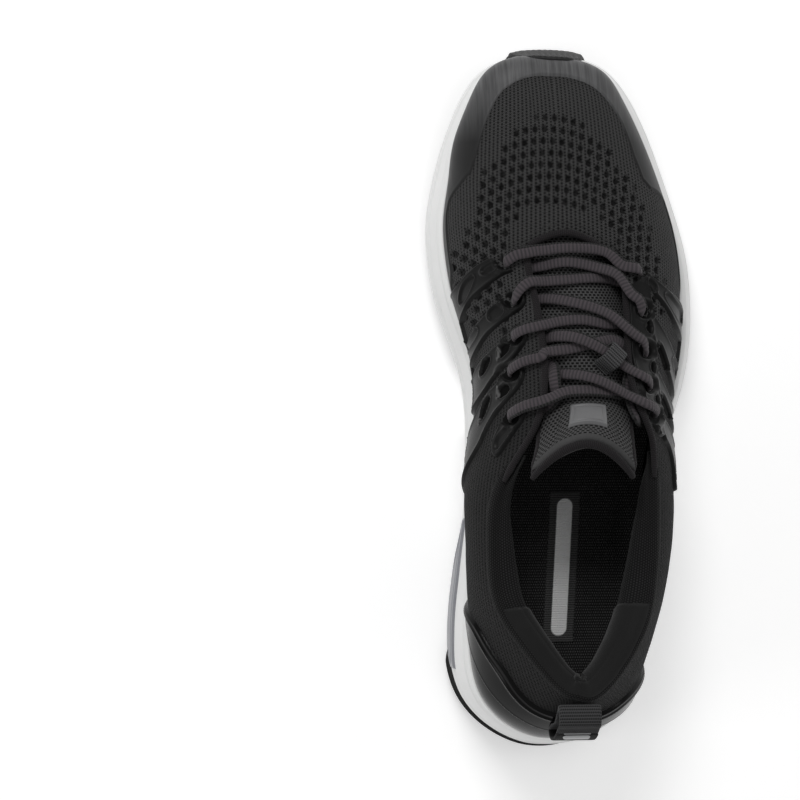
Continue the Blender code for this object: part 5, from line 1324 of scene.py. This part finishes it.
# end on the medial side
keys.append((skin(*map(np.array, upper_at(-14.8, -5.0)), np.array(-4.3)), np.array(upper_normal(*upper_at(-14.8, -5.0)))))
tongue_pts([(-2.2, 3.0, 1.2), (-1.2, 7.0, 3.8), (-1.2, 12.0, 4.0), (-3.0, 16.0, 0.9)])
edge(-12.0, 19.0)
keys += tuck(-14.0, 18.5)[::-1]


def smooth_path(keys, step=3.6):
    p = np.array([k[0] for k in keys], float)
    n = np.array([k[1] for k in keys], float)
    seg = np.linalg.norm(np.diff(p, axis=0), axis=1) ** 0.5
    t = np.concatenate([[0], np.cumsum(seg)])
    d = np.zeros_like(p)
    for i in range(1, len(p) - 1):
        a, b = t[i] - t[i - 1], t[i + 1] - t[i]
        d[i] = ((p[i] - p[i - 1]) / a * b + (p[i + 1] - p[i]) / b * a) / (a + b)
    d[0], d[-1] = (p[1] - p[0]) / (t[1] - t[0]), (p[-1] - p[-2]) / (t[-1] - t[-2])
    out, ref = [], []
    for i in range(len(p) - 1):
        h = t[i + 1] - t[i]
        m = max(2, int(round(np.linalg.norm(p[i + 1] - p[i]) / step)))
        for x in np.arange(m) / m:
            out.append((2 * x ** 3 - 3 * x ** 2 + 1) * p[i] + (x ** 3 - 2 * x ** 2 + x) * h * d[i] + (3 * x ** 2 - 2 * x ** 3) * p[i + 1] + (x ** 3 - x ** 2) * h * d[i + 1])
            ref.append(n[i] * (1 - x) + n[i + 1] * x)
    out.append(p[-1])
    ref.append(n[-1])
    return np.array(out), np.array(ref)


path, ref = smooth_path(keys, 0.36)
for _ in range(8):
    path[1:-1] = path[1:-1] * 0.5 + (path[2:] + path[:-2]) * 0.25
    ref[1:-1] = ref[1:-1] * 0.5 + (ref[2:] + ref[:-2]) * 0.25


def sag(g):
    """Lets the lace bow towards the ankle in the middle of the throat, riding up the tongue as it goes."""
    by_y = np.array(TONGUE)[::-1]
    tz = lambda y: np.interp(y, by_y[:, 1], by_y[:, 2])
    k = ease(30.0 - abs(g[..., 0] - 10.5), 0, 16) * 2.9
    out = np.array(g, float)
    out[..., 1] = g[..., 1] - k
    out[..., 2] = g[..., 2] + tz(out[..., 1]) - tz(g[..., 1])
    return out


path = sag(path)
arc = np.concatenate([[0], np.cumsum(np.linalg.norm(np.diff(path, axis=0), axis=1))])
LACE_LENGTH = arc[-1]
k, t = np.meshgrid(np.arange(len(path)), np.linspace(0, 2 * math.pi, 25)[:-1] + 0.13, indexing="ij")
al = arc[:, None] + 0 * t
c, q = np.cos(t), np.sin(t)
shape = lambda v, power: np.sign(v) * abs(v) ** power
skew = 0.35 * np.sin(al / 23.0)
rib = 0.065 * np.cos((al + 0.3 * c) * 2 * math.pi / 1.55)
cord = 1.0 - 0.42 * np.exp(-((c - 0.55) / 0.10) ** 2)
rx = LACE_W / 2 + rib * 0.5 + 0.10 * np.sin(al / 9.0)
ry = (LACE_T / 2 + rib + 0.06 * np.sin(al / 6.0 + 1)) * cord
ends = ease(al, 0, 2.5) * ease(LACE_LENGTH - al, 0, 2.5) * 0.35 + 0.65
grid = sweep(path, ref, (rx * ends * shape(c, 0.85), ry * ends * shape(q, 0.8)), 0.12)
piece = tube_mesh("lace_woven", grid, LACE_MAT, {"chart": np.stack([al, t * 1.9, 0 * al], -1), "side": c})
finish_piece(piece, "shoe", "lace", "lace")

# Webbing keeper in the middle of the tongue
ka, kb = tongue_at(18.4, 17.9)
c0 = tongue_face(ka, kb)
n0 = tongue_face(ka, kb, 1.0) - c0
along = np.array([0.76, -0.65, 0.0])
along = along - n0 * (along @ n0)
along /= np.linalg.norm(along)
across = np.cross(n0, along)
prof = np.array([(-5.6, 0.4), (-5.1, 1.0), (-4.9, 4.2), (-4.5, 7.2), (-3.0, 8.5), (0, 8.9), (3.0, 8.5), (4.5, 7.2), (4.9, 4.2), (5.1, 1.0), (5.6, 0.4)])
key = np.concatenate([[0], np.cumsum(np.linalg.norm(np.diff(prof, axis=0), axis=1))])
kk = np.linspace(0, key[-1], 96)
pr = np.stack([np.interp(kk, key, prof[:, i]) for i in range(2)], -1)
for _ in range(10):
    pr[1:-1] = pr[1:-1] * 0.5 + (pr[2:] + pr[:-2]) * 0.25
tn = np.gradient(pr, axis=0)
tn /= np.linalg.norm(tn, axis=1, keepdims=True)
nn = np.stack([-tn[:, 1], tn[:, 0]], -1)
wide = np.linspace(-3.9, 3.9, 26)
ridge = 0.24 * np.cos(kk * 2 * math.pi / 2.6)
rim = ease(3.9 - abs(wide), 0, 0.6)
po = pr[None] + nn[None] * (0.25 + ridge[None, :, None] * rim[:, None, None] + 0.25 * rim[:, None, None] - 0.25)
pi2 = pr[None] - nn[None] * 0.95 + 0 * po
place = lambda g: c0 + np.array([0.0, -2.2, 1.0]) + across * g[..., :1] + n0 * g[..., 1:2] + along * wide[:, None, None]
chart = np.stack([kk[None] + 0 * wide[:, None], wide[:, None] + 0 * kk[None], 0 * po[..., 0]], -1)
piece = shell("keeper_webbing", place(po), place(pi2), KEEPER, attrs={"chart": chart})
finish_piece(piece, "shoe", "webbing", "lace_keeper")

# ---------------------------------------------------------------- heel pull loop and its bar
outer_yz = [(-124.2, 98.6), (-127.5, 100.2), (-132.5, 99.4), (-138.5, 93.6), (-142.8, 85.5), (-144.6, 77.5), (-143.6, 71.2), (-140.6, 68.8),
            (-138.0, 72.3), (-135.4, 79.2), (-131.2, 87.0), (-126.6, 93.6)]
inner_yz = [(-126.7, 97.2), (-128.3, 98.7), (-131.8, 98.1), (-137.4, 92.8), (-141.5, 85.1), (-143.2, 77.7), (-142.4, 72.3), (-141.0, 71.2),
            (-139.3, 73.4), (-136.7, 79.8), (-132.5, 87.7), (-128.1, 94.0)]



def closed_curve(points, count):
    loop = Loop(points)
    q = loop(np.linspace(0, 1, count + 1)[:-1])
    return q


LOOP_X = (-4.3, 12.9)
po, pi2 = closed_curve(outer_yz, 260), closed_curve(inner_yz, 260)
for g in (po, pi2):
    g[:, 0] += 0.2 * (-124 - g[:, 0]) * ease(-g[:, 0], 131.5, 137)
xs = np.linspace(LOOP_X[0], LOOP_X[1], 30)
arc = np.concatenate([[0], np.cumsum(np.linalg.norm(np.diff(po, axis=0), axis=1))])
out = (po - pi2) / np.linalg.norm(po - pi2, axis=1, keepdims=True)
edge = np.minimum(xs - xs[0], xs[-1] - xs)
rib = (0.14 * np.cos(arc * 2 * math.pi / 1.3)[None] - 0.45 * (1 - ease(edge, 0, 0.8))[:, None])[..., None]
rear = (np.arange(len(po)) < np.argmin(po[:, 1])) * 1.0
low = ease(91.6 - po[:, 1], 0, 0.6) * rear
fold = 0.5 * low - 0.4 * np.exp(-((po[:, 1] - 91.9) / 0.35) ** 2) * rear
yz = po[None] + out[None] * (rib * (1 - 0.7 * low[None, :, None]) + fold[None, :, None])
grid_o = np.concatenate([xs[:, None, None] + 0 * yz[..., :1], yz], -1)
yzi = pi2[None] - out[None] * (rib * 0.5)
grid_i = np.concatenate([xs[:, None, None] + 0 * yzi[..., :1], yzi], -1)
chart = np.stack([xs[:, None] + 0 * arc[None], arc[None] + 0 * xs[:, None], 0 * yz[..., 0]], -1)
piece = shell("pull_webbing", grid_o.transpose(1, 0, 2)[::-1], grid_i.transpose(1, 0, 2)[::-1], WEBBING, wrap=True, attrs={"chart": chart.transpose(1, 0, 2)[::-1], "plain": (low[None] + 0 * xs[:, None]).T[::-1]})
finish_piece(piece, "pull_loop", "webbing", "pull_loop")
gx, gz = np.meshgrid(np.linspace(-2.2, 10.8, 90), np.linspace(86.4, 91.8, 60), indexing="ij")
d = 1.35 - np.hypot(np.maximum(abs(gx - 4.3) - 4.4, 0), (gz - 89.0) * 0.62)
rear = po[:int(np.argmin(po[:, 1]))]
rear = rear[(rear[:, 1] > 76) & (rear[:, 0] < -133)]
rear = rear[np.argsort(rear[:, 1])]
py = np.interp(gz, rear[:, 1], rear[:, 0]) - 0.35
high = -0.3 + 0.9 * ease(d, -0.2, 0.6)
piece = shell("pull_bar", np.stack([gx, py - high - 0.1, gz], -1), np.stack([gx, py + 0.7, gz], -1), LIGHT, cells(d > -0.5))
finish_piece(piece, "pull_loop", "light", "pull_loop_label")

# ---------------------------------------------------------------- foam midsole: side walls, rim, cup and channelled underside
lat_wall, med_wall = spline_table(CHANNEL_LAT[::-1]), spline_table(CHANNEL_MED[::-1])


def channel_in(x, y):
    """Distance in from the wall of the channel under the arch and heel."""
    yy = np.clip(y, -122, 124)
    d = np.minimum(lat_wall(yy) - x, x - med_wall(yy)) * 0.93
    return np.minimum(d, np.minimum(y + 122, 124 - y) * 1.2 + 1.0)


def spine(y):
    """Middle line under the foot that the underside's rings shrink to."""
    yc = np.clip(y, -98, 98)
    return np.stack([(lat_wall(yc) + med_wall(yc)) / 2, yc], -1)


ns = 840
s = np.arange(ns) / ns
rows, foam_channel_tone_and_crease_shade = [], []
r = np.linspace(0, 1, 58)
edge2, _ = inset(s, np.full(ns, 3.0))
c = spine(edge2[:, 1])
for x in r:
    q = c + (edge2 - c) * x
    ch = channel_in(q[:, 0], q[:, 1])
    dim = 0.10 * (np.cos((q[:, 0] + q[:, 1]) * 2 * math.pi / 3.4) * np.cos((q[:, 0] - q[:, 1]) * 2 * math.pi / 3.4)) * ease(ch, 4, 7)
    z = sole_bottom(q[:, 1]) + OUTSOLE + 0.1 + 4.4 * ease(ch, -0.5, 6.0) + dim
    rows.append(np.concatenate([q, z[:, None]], 1))
    foam_channel_tone_and_crease_shade.append(ease(ch, 4.5, 7))
fr = np.concatenate([np.linspace(0.02, 0.76, 22), np.linspace(0.78, 0.92, 12), np.linspace(0.94, 1.0, 5)])
o = outline(s)
around = 2 * math.pi * s
crease = 0.83 + 0 * s
sweep_line = 0.42 + 0.10 * np.sin(around * 2 + 0.6) + 0.04 * np.sin(around * 3)
for f in fr:
    d = profile(s, np.full(ns, f))
    d = d + 2.0 * np.exp(-((f - crease) / 0.03) ** 2) - 0.5 * np.exp(-((f - crease - 0.05) / 0.03) ** 2)
    d = d + 0.55 * np.exp(-((f - sweep_line) / 0.03) ** 2) - 0.35 * np.exp(-((f - sweep_line + 0.07) / 0.05) ** 2)
    q, _ = inset(s, d)
    zb, zt = sole_bottom(q[:, 1]) + OUTSOLE, bite_line(q[:, 1])
    rows.append(np.concatenate([q, (zb + (zt - zb) * f)[:, None]], 1))
    # Painted shade: a darker line along the crease of the side wall.
    foam_channel_tone_and_crease_shade.append(0.9 * np.exp(-((f - crease) / 0.024) ** 2))
rim = edge_inset(s)
for d, dz in ((rim * 0.55 + 2.4, 0.35), (rim - 0.9, 0.45), (rim - 0.35, 0.1), (rim - 0.2, -1.5)):
    q, _ = inset(s, d)
    rows.append(np.concatenate([q, (bite_line(q[:, 1]) + dz)[:, None]], 1))
    foam_channel_tone_and_crease_shade.append(0 * s)
q, _ = inset(s, rim - 0.2)
base = q
for x in (1.0, 0.66, 0.33, 0.0):
    g = c + (base - c) * x
    rows.append(np.concatenate([g, footbed(g[:, 1])[:, None]], 1))
    foam_channel_tone_and_crease_shade.append(0 * s)
grid = np.stack(rows, 1)
piece = add_mesh("midsole_foam", grid, quads_of(ns, grid.shape[1], None, True, False), FOAM, {"channel": np.stack(foam_channel_tone_and_crease_shade, 1)})
finish_piece(piece, "shoe", "foam", "midsole")

# ---------------------------------------------------------------- rubber outsole with its lugs
A1, A2, L0 = np.array([1.6, 16.5]), np.array([14.2, -9.8]), np.array([28.0, 92.9])
WHITE = [(2.2, 128.2), (15.7, 118.8), (29.5, 109.4), (43.7, 99.6), (28.0, 92.9), (41.5, 83.6), (40.0, 67.1), (54.2, 56.8), (38.5, 50.2), (52.0, 39.9), (36.7, 33.2),
         (50.5, 23.0), (34.7, 16.3), (48.3, 6.0), (21.0, -76.5), (19.7, -92.1), (17.9, -108.1), (16.2, -124.2), (2.2, -130.2), (-23.6, -127.3)]
CUTS = [[(-14, 104.9), (-50, 117.7)], [(-14, 95.3), (-52, 106.9)], [(-12, 82.5), (-54, 92.8)], [(-9, 69.1), (-54, 79.0)], [(-5, 54.9), (-54, 63.3)], [(-2, 41.4), (-52, 50.0)],
        [(3, 27.1), (-50, 37.0)], [(6, 13.2), (-46, 23.0)], [(12, -47.0), (-40, -44.6)], [(6, -57.9), (-42, -56.7)], [(1, -69.6), (-44, -67.8)], [(-5, -79.5), (-45, -77.6)],
        [(-8, -89.0), (-46, -88.4)], [(-8, -97.9), (-46, -97.9)], [(-8, -104.0), (-46, -109.5)], [(-9, -109.0), (-44, -119.4)]]
SLITS = [[(-24.9, 112.5), (-16, 60), (-7.9, 9.1)], [(-37.6, 107.2), (-35, 70), (-28.8, 28.8)], [(0.0, -40.3), (-4.8, -52.8), (-13.5, -67.1), (-20.1, -80.5), (-23.2, -91.6), (-23.2, -107.2)],
         [(-24.5, -53.7), (-29.3, -71.1), (-35.0, -101.0)]]
inv = np.linalg.inv(np.stack([A1, A2], 1))


def lugs(x, y):
    """Depth of the rubber's face below the tread plane, 0 on top of a lug, and how white the spot is."""
    q = np.stack([x - L0[0], y - L0[1]], -1) @ inv.T
    best = np.full(x.shape, 1e9)
    near = np.zeros(x.shape + (2,))
    i0, j0 = np.floor(q[..., 0]), np.floor(q[..., 1])
    for di in (0, 1):
        for dj in (0, 1):
            pt = L0 + (i0 + di)[..., None] * A1 + (j0 + dj)[..., None] * A2
            d = np.hypot(x - pt[..., 0], y - pt[..., 1])
            m = d < best
            best = np.where(m, d, best)
            near = np.where(m[..., None], pt, near)
    vx, vy = x - near[..., 0], y - near[..., 1]
    dirs = [A1 / np.linalg.norm(A1), A2 / np.linalg.norm(A2), (A1 + A2) / np.linalg.norm(A1 + A2)]
    hexd = np.max([abs(vx * u[0] + vy * u[1]) for u in dirs], axis=0)
    line = np.full(x.shape, 1e9)
    for u in dirs:
        nx, ny = -u[1], u[0]
        line = np.minimum(line, abs(vx * nx + vy * ny))
    groove = 1 - ease(line, 0.45, 1.15)
    ring = ease(hexd, 2.55, 3.0) * (1 - ease(hexd, 4.3, 4.9))
    depth = np.maximum(groove * ease(hexd, 2.7, 3.2), ring) * 1.75
    bevel = 0.3 * np.exp(-((line - 3.6) / 0.4) ** 2) * ease(hexd, 5.0, 5.6)
    white = np.zeros(x.shape)
    for spot in WHITE:
        wx, wy = L0 + np.round((np.array(spot) - L0) @ inv.T) @ np.stack([A1, A2])
        white = np.maximum(white, (np.hypot(near[..., 0] - wx, near[..., 1] - wy) < 2.0) * 1.0)
    pip = 1 - ease(hexd, 2.3, 2.7)
    hexes = depth + bevel + pip * 0.5
    block = np.full(x.shape, 1e9)
    for seg in CUTS:
        block = np.minimum(block, from_line(x, y, seg) - 0.35)
    for seg in SLITS:
        block = np.minimum(block, from_line(x, y, seg) - 0.1)
    bars = 1.75 * (1 - ease(block, 0.15, 0.85)) + 0.25 * np.exp(-((block - 2.2) / 0.25) ** 2)
    pad_d = inside(x, y, [(9, -10.5), (-30, -10.5), (-30, -27.5), (9, -27.5)], 3)
    bars = np.where(pad_d > -1.5, 1.5 * (1 - ease(pad_d, -1.2, 0.9)), bars)
    medial = ease((lat_wall(np.clip(y, -122, 124)) + med_wall(np.clip(y, -122, 124))) / 2 - x, -1, 1)
    boundary = 116.6 + (-17.9 - x) * 0.42
    medial = medial * (y < boundary) * (y > -121.5 + 0.05 * (x + 20))
    seam = np.where((x < 0) & (y > 60), abs(y - boundary) * 0.92, np.where((x < 0) & (y < -60), abs(y + 121.5 - 0.05 * (x + 20)), 9.0))
    out = np.where(medial > 0.5, bars, hexes)
    out = np.maximum(out, 1.75 * (1 - ease(seam, 0.4, 1.0)))
    return out, white * (1 - ease(hexd, 2.45, 2.75)) * (medial < 0.5)


def rubber_piece(name, s_from, s_to, wall, inner_of, ns, nt, node):
    keys2 = np.concatenate([S, S + 1])
    ks = keys2[(keys2 >= s_from) & (keys2 <= s_to)]
    s = np.linspace(ks[0], ks[-1], ns)
    frac = np.interp(s, ks, np.linspace(0, 1, len(ks)))
    c = np.array([inner_of(float(f)) for f in frac])
    for _ in range(12):
        c[1:-1] = c[1:-1] * 0.5 + (c[2:] + c[:-2]) * 0.25
    o, _ = inset(s, np.full(ns, 1.6))
    t = np.linspace(0, 1, nt)
    q = c[:, None] + (o - c)[:, None] * t[None, :, None]
    zb = sole_bottom(q[..., 1])
    depth, white = lugs(q[..., 0], q[..., 1])
    run = np.concatenate([[0], np.cumsum(np.linalg.norm(np.diff(o, axis=0), axis=1))])
    border = np.minimum(np.linalg.norm(q - c[:, None], axis=-1), 30)
    outer_d = np.linalg.norm(q - o[:, None], axis=-1)
    ends = np.minimum(run, run[-1] - run)[:, None] + 0 * zb
    rim = np.minimum(border, ends)
    depth = depth * ease(rim, 0.9, 1.7) * ease(outer_d, 0.3, 1.4) + 0.9 * (1 - ease(outer_d, 0, 1.2)) + 0.6 * (1 - ease(border, 0, 0.9))
    low = np.concatenate([q, (zb + depth)[..., None]], -1)
    high = np.concatenate([q, (zb + OUTSOLE - 0.5)[..., None]], -1)
    h = np.array([wall(float(x)) for x in s])
    zt, zo = bite_line(o[:, 1]), sole_bottom(o[:, 1])
    lo_rows, hi_rows = [], []
    for f in np.linspace(0.06, 1.0, 16):
        zz = zo + OUTSOLE + h * f
        ff = (zz - zo - OUTSOLE) / (zt - zo - OUTSOLE)
        d = profile(s, np.clip(ff, 0, 1))
        key1 = np.where(s < 0.5, s + 1, s)
        stand = 0.35 + 1.65 * ease(h, 3, 9) + 3.3 * ease(key1, s_of("M", -102), s_of("M", -116)) * ease(-key1, -1.045, -0.995)
        tooth = 0.35 * np.cos(run * 2 * math.pi / 2.4) * (h > 6) * (0.25 + 0.75 * (f > 0.62))
        qo, _ = inset(s, d - stand - 0.03 * h + tooth * 0.6 * (1 - 0.5 * (f > 0.97)))
        qi, _ = inset(s, d + 0.4 - 0.9 * ease(h, 3, 9) - 0.03 * h)
        lo_rows.append(np.concatenate([qo, (zz - 0.6 * (1 - f))[:, None]], 1))
        hi_rows.append(np.concatenate([qi, (zz + 0.2)[:, None]], 1))
    low = np.concatenate([low, np.stack(lo_rows, 1)], 1)
    high = np.concatenate([high, np.stack(hi_rows, 1)], 1)
    white = np.concatenate([white, np.zeros((ns, 16))], 1)
    obj = shell(name, low, high, RUBBER, attrs={"white": white})
    return finish_piece(obj, "shoe", "rubber", node)


rubber_piece("outsole_front_lugs", s_of("L", -3), s_of("M", 9), lambda s: 1.2 + 20 * math.exp(-((s - S_TOE + 0.001) / 0.0215) ** 6), front_inner, 640, 58, "outsole_forefoot")
rubber_piece("outsole_heel_lugs", s_of("M", -14), 1 + s_of("L", -56), lambda s: 1.2, rear_inner, 540, 58, "outsole_heel")

# Grey stabiliser band on the inner side of the heel
nu, nv = 150, 40
s = np.linspace(s_of("M", -52), s_of("M", -117), nu)
f = np.linspace(0.16, 0.50, nv)
open_ = np.interp(np.linspace(0, 1, nu), [0, 0.4, 0.8, 1], [0.25, 1, 1, 0.45])
open_ = np.convolve(np.pad(open_, 10, "edge"), np.ones(21) / 21, "valid")
a, b = np.meshgrid(s, f, indexing="ij")
ff = 0.34 + (b - 0.34) * open_[:, None]
d0 = np.interp(ff, [0, 0.07, 0.25, 0.5, 0.75], [3.0, 0.9, 0.0, 1.3, 3.2])
ii, jj = np.meshgrid(np.linspace(0, 1, nu), np.linspace(0, 1, nv), indexing="ij")
edge = np.minimum(np.minimum(ii, 1 - ii) * 64, np.minimum(jj, 1 - jj) * 11 * open_[:, None])
lift = 0.15 + 0.8 * ease(edge, 0, 1.2) - 0.3 * np.exp(-((edge - 2.6) / 0.4) ** 2)
po, _ = inset(a, d0 - lift)
pi2, _ = inset(a, d0 + 0.4)
zz = lambda g: sole_bottom(g[..., 1]) + OUTSOLE + (bite_line(g[..., 1]) - sole_bottom(g[..., 1]) - OUTSOLE) * ff
grid_o, grid_i = np.concatenate([po, zz(po)[..., None]], -1), np.concatenate([pi2, zz(pi2)[..., None]], -1)
piece = shell("stabiliser_band", grid_o[::-1], grid_i[::-1], TPU)
finish_piece(piece, "shoe", "tpu_grey", "medial_stabilizer")

# ---------------------------------------------------------------- insole with its woven strip
ns, nr = 420, 46
s = np.arange(ns) / ns
wall_in, _ = inset(s, edge_inset(s) + KNIT + 1.0)
c = spine(wall_in[:, 1])
rows = []
for x in np.linspace(0, 1, nr):
    q = c + (wall_in - c) * x
    cup = 1.5 * ease(np.hypot(*(wall_in - q).T), 9, 0) + 1.2 * ease(-q[:, 1], 70, 105) * 0
    arch = 2.5 * np.exp(-((q[:, 0] + 20) / 12) ** 2 - ((q[:, 1] + 10) / 45) ** 2)
    z = footbed(q[:, 1]) + 8.0 + cup + arch + 0.12 * lumps(q[:, 0], q[:, 1], seed=31, size=22)
    rows.append(np.concatenate([q, z[:, None]], 1))
for dz in (6.0, 4.1):
    rows.append(np.concatenate([wall_in, (footbed(wall_in[:, 1]) + dz)[:, None]], 1))
rows.append(np.concatenate([c, (footbed(c[:, 1]) + 4.1)[:, None]], 1))
grid = np.stack(rows, 1)
chart = np.stack([grid[..., 0], grid[..., 1], 0 * grid[..., 0]], -1)
piece = add_mesh("insole_textile", grid, quads_of(ns, grid.shape[1], None, True, False)[:, ::-1], INSOLE, {"chart": chart})
finish_piece(piece, "shoe", "insole", "insole")
a, b = np.meshgrid(np.linspace(0, 1, 70), np.linspace(0, 1, 160), indexing="ij")
x0 = 1.9 + (-1.6 - 1.9) * b
px, py = x0 + 13.1 * a, -40.0 - 64.5 * b
d = np.minimum(np.minimum(a, 1 - a) * 13.1, np.minimum(b, 1 - b) * 64.5)
z = footbed(py) + 8.0 + 2.5 * np.exp(-((px + 20) / 12) ** 2 - ((py + 10) / 45) ** 2) + 0.25 + 0.3 * ease(d, 0, 0.5)
chart = np.stack([px, py, 0 * px], -1)
top, low = np.stack([px, py, z], -1), np.stack([px, py, z - 0.6], -1)
across = (a - 0.5) * 13.1
end = np.maximum(abs(b - 0.5) * 64.5 - 26.0, 0)
mark = 1 - ease(np.hypot(across, end), 3.1, 3.5)
piece = shell("insole_strip", top[:, ::-1], low[:, ::-1], STRIP, attrs={"chart": chart[:, ::-1], "mark": mark[:, ::-1]})
finish_piece(piece, "shoe", "insole")

# ---------------------------------------------------------------- pieces hidden inside keep the frame's meshes
for node, mat in (("strobel_board", BOARD), ("shank_plate", PLATE), ("toe_puff", BOARD), ("heel_stiffener", BOARD), ("aglet_lateral", GLOSS), ("aglet_medial", GLOSS)):
    obj = frame["nodes"][node]
    obj.data.materials.clear()
    obj.data.materials.append(mat)

# ---------------------------------------------------------------- floor, light and camera
fm = bpy.data.materials.new("floor")
fm.use_nodes = True
fm.node_tree.nodes["Principled BSDF"].inputs["Base Color"].default_value = (0.93, 0.93, 0.93, 1)
fm.node_tree.nodes["Principled BSDF"].inputs["Roughness"].default_value = 0.9
fm.node_tree.nodes["Principled BSDF"].inputs["Specular IOR Level"].default_value = 0.1
fm.node_tree.nodes["Principled BSDF"].inputs["Emission Color"].default_value = (1, 1, 1, 1)
fm.node_tree.nodes["Principled BSDF"].inputs["Emission Strength"].default_value = 0.30
tree = fm.node_tree
geo = tree.nodes.new("ShaderNodeNewGeometry")
clear = tree.nodes.new("ShaderNodeBsdfTransparent")
mixer = tree.nodes.new("ShaderNodeMixShader")
tree.links.new(geo.outputs["Backfacing"], mixer.inputs[0])
tree.links.new(tree.nodes["Principled BSDF"].outputs[0], mixer.inputs[1])
tree.links.new(clear.outputs[0], mixer.inputs[2])
tree.links.new(mixer.outputs[0], tree.nodes["Material Output"].inputs[0])
me = bpy.data.meshes.new("floor")
me.from_pydata([(-6, -6, -0.0004), (6, -6, -0.0004), (6, 6, -0.0004), (-6, 6, -0.0004)], [], [[0, 1, 2, 3]])
me.materials.append(fm)
floor = bpy.data.objects.new("floor", me)
bpy.context.scene.collection.objects.link(floor)

world = bpy.data.worlds.new("studio")
bpy.context.scene.world = world
world.use_nodes = True
world.node_tree.nodes["Background"].inputs[0].default_value = (1.0, 1.0, 1.0, 1)
world.node_tree.nodes["Background"].inputs[1].default_value = 0.45


def area(name, at, to, size, power, wide=None):
    lamp = bpy.data.lights.new(name, "AREA")
    lamp.energy = power
    lamp.shape = "RECTANGLE"
    lamp.size = size
    lamp.size_y = wide or size
    obj = bpy.data.objects.new(name, lamp)
    bpy.context.scene.collection.objects.link(obj)
    obj.location = at
    obj.rotation_euler = (Vector(to) - Vector(at)).to_track_quat("-Z", "Y").to_euler()
    return obj


area("key", (-0.30, 0.85, 1.15), (0.0, 0.03, 0.03), 0.5, 8.0, 0.4)
area("fill", (-1.2, -0.35, 0.75), (0.0, 0.0, 0.04), 0.5, 2.5)
area("side", (1.1, 0.2, 0.7), (0.0, 0.0, 0.04), 0.4, 1.2)

cam_data = bpy.data.cameras.new("camera")
cam_data.lens = 123.7
cam_data.sensor_width = 36.0
cam_data.clip_start = 0.05
cam_data.clip_end = 30
cam = bpy.data.objects.new("camera", cam_data)
bpy.context.scene.collection.objects.link(cam)
at, to = Vector((-0.17638, -0.00116, 1.2)), Vector((-0.07038, -0.00116, 0.022))
fwd = (to - at).normalized()
right = fwd.cross(Vector((0, 1, 0))).normalized()
up = right.cross(fwd)
m = Matrix((right, up, -fwd)).transposed().to_4x4()
m.translation = at
cam.matrix_world = m
bpy.context.scene.camera = cam
bpy.context.scene.view_settings.view_transform = "Standard"

print("lace length mm", round(float(LACE_LENGTH), 1))
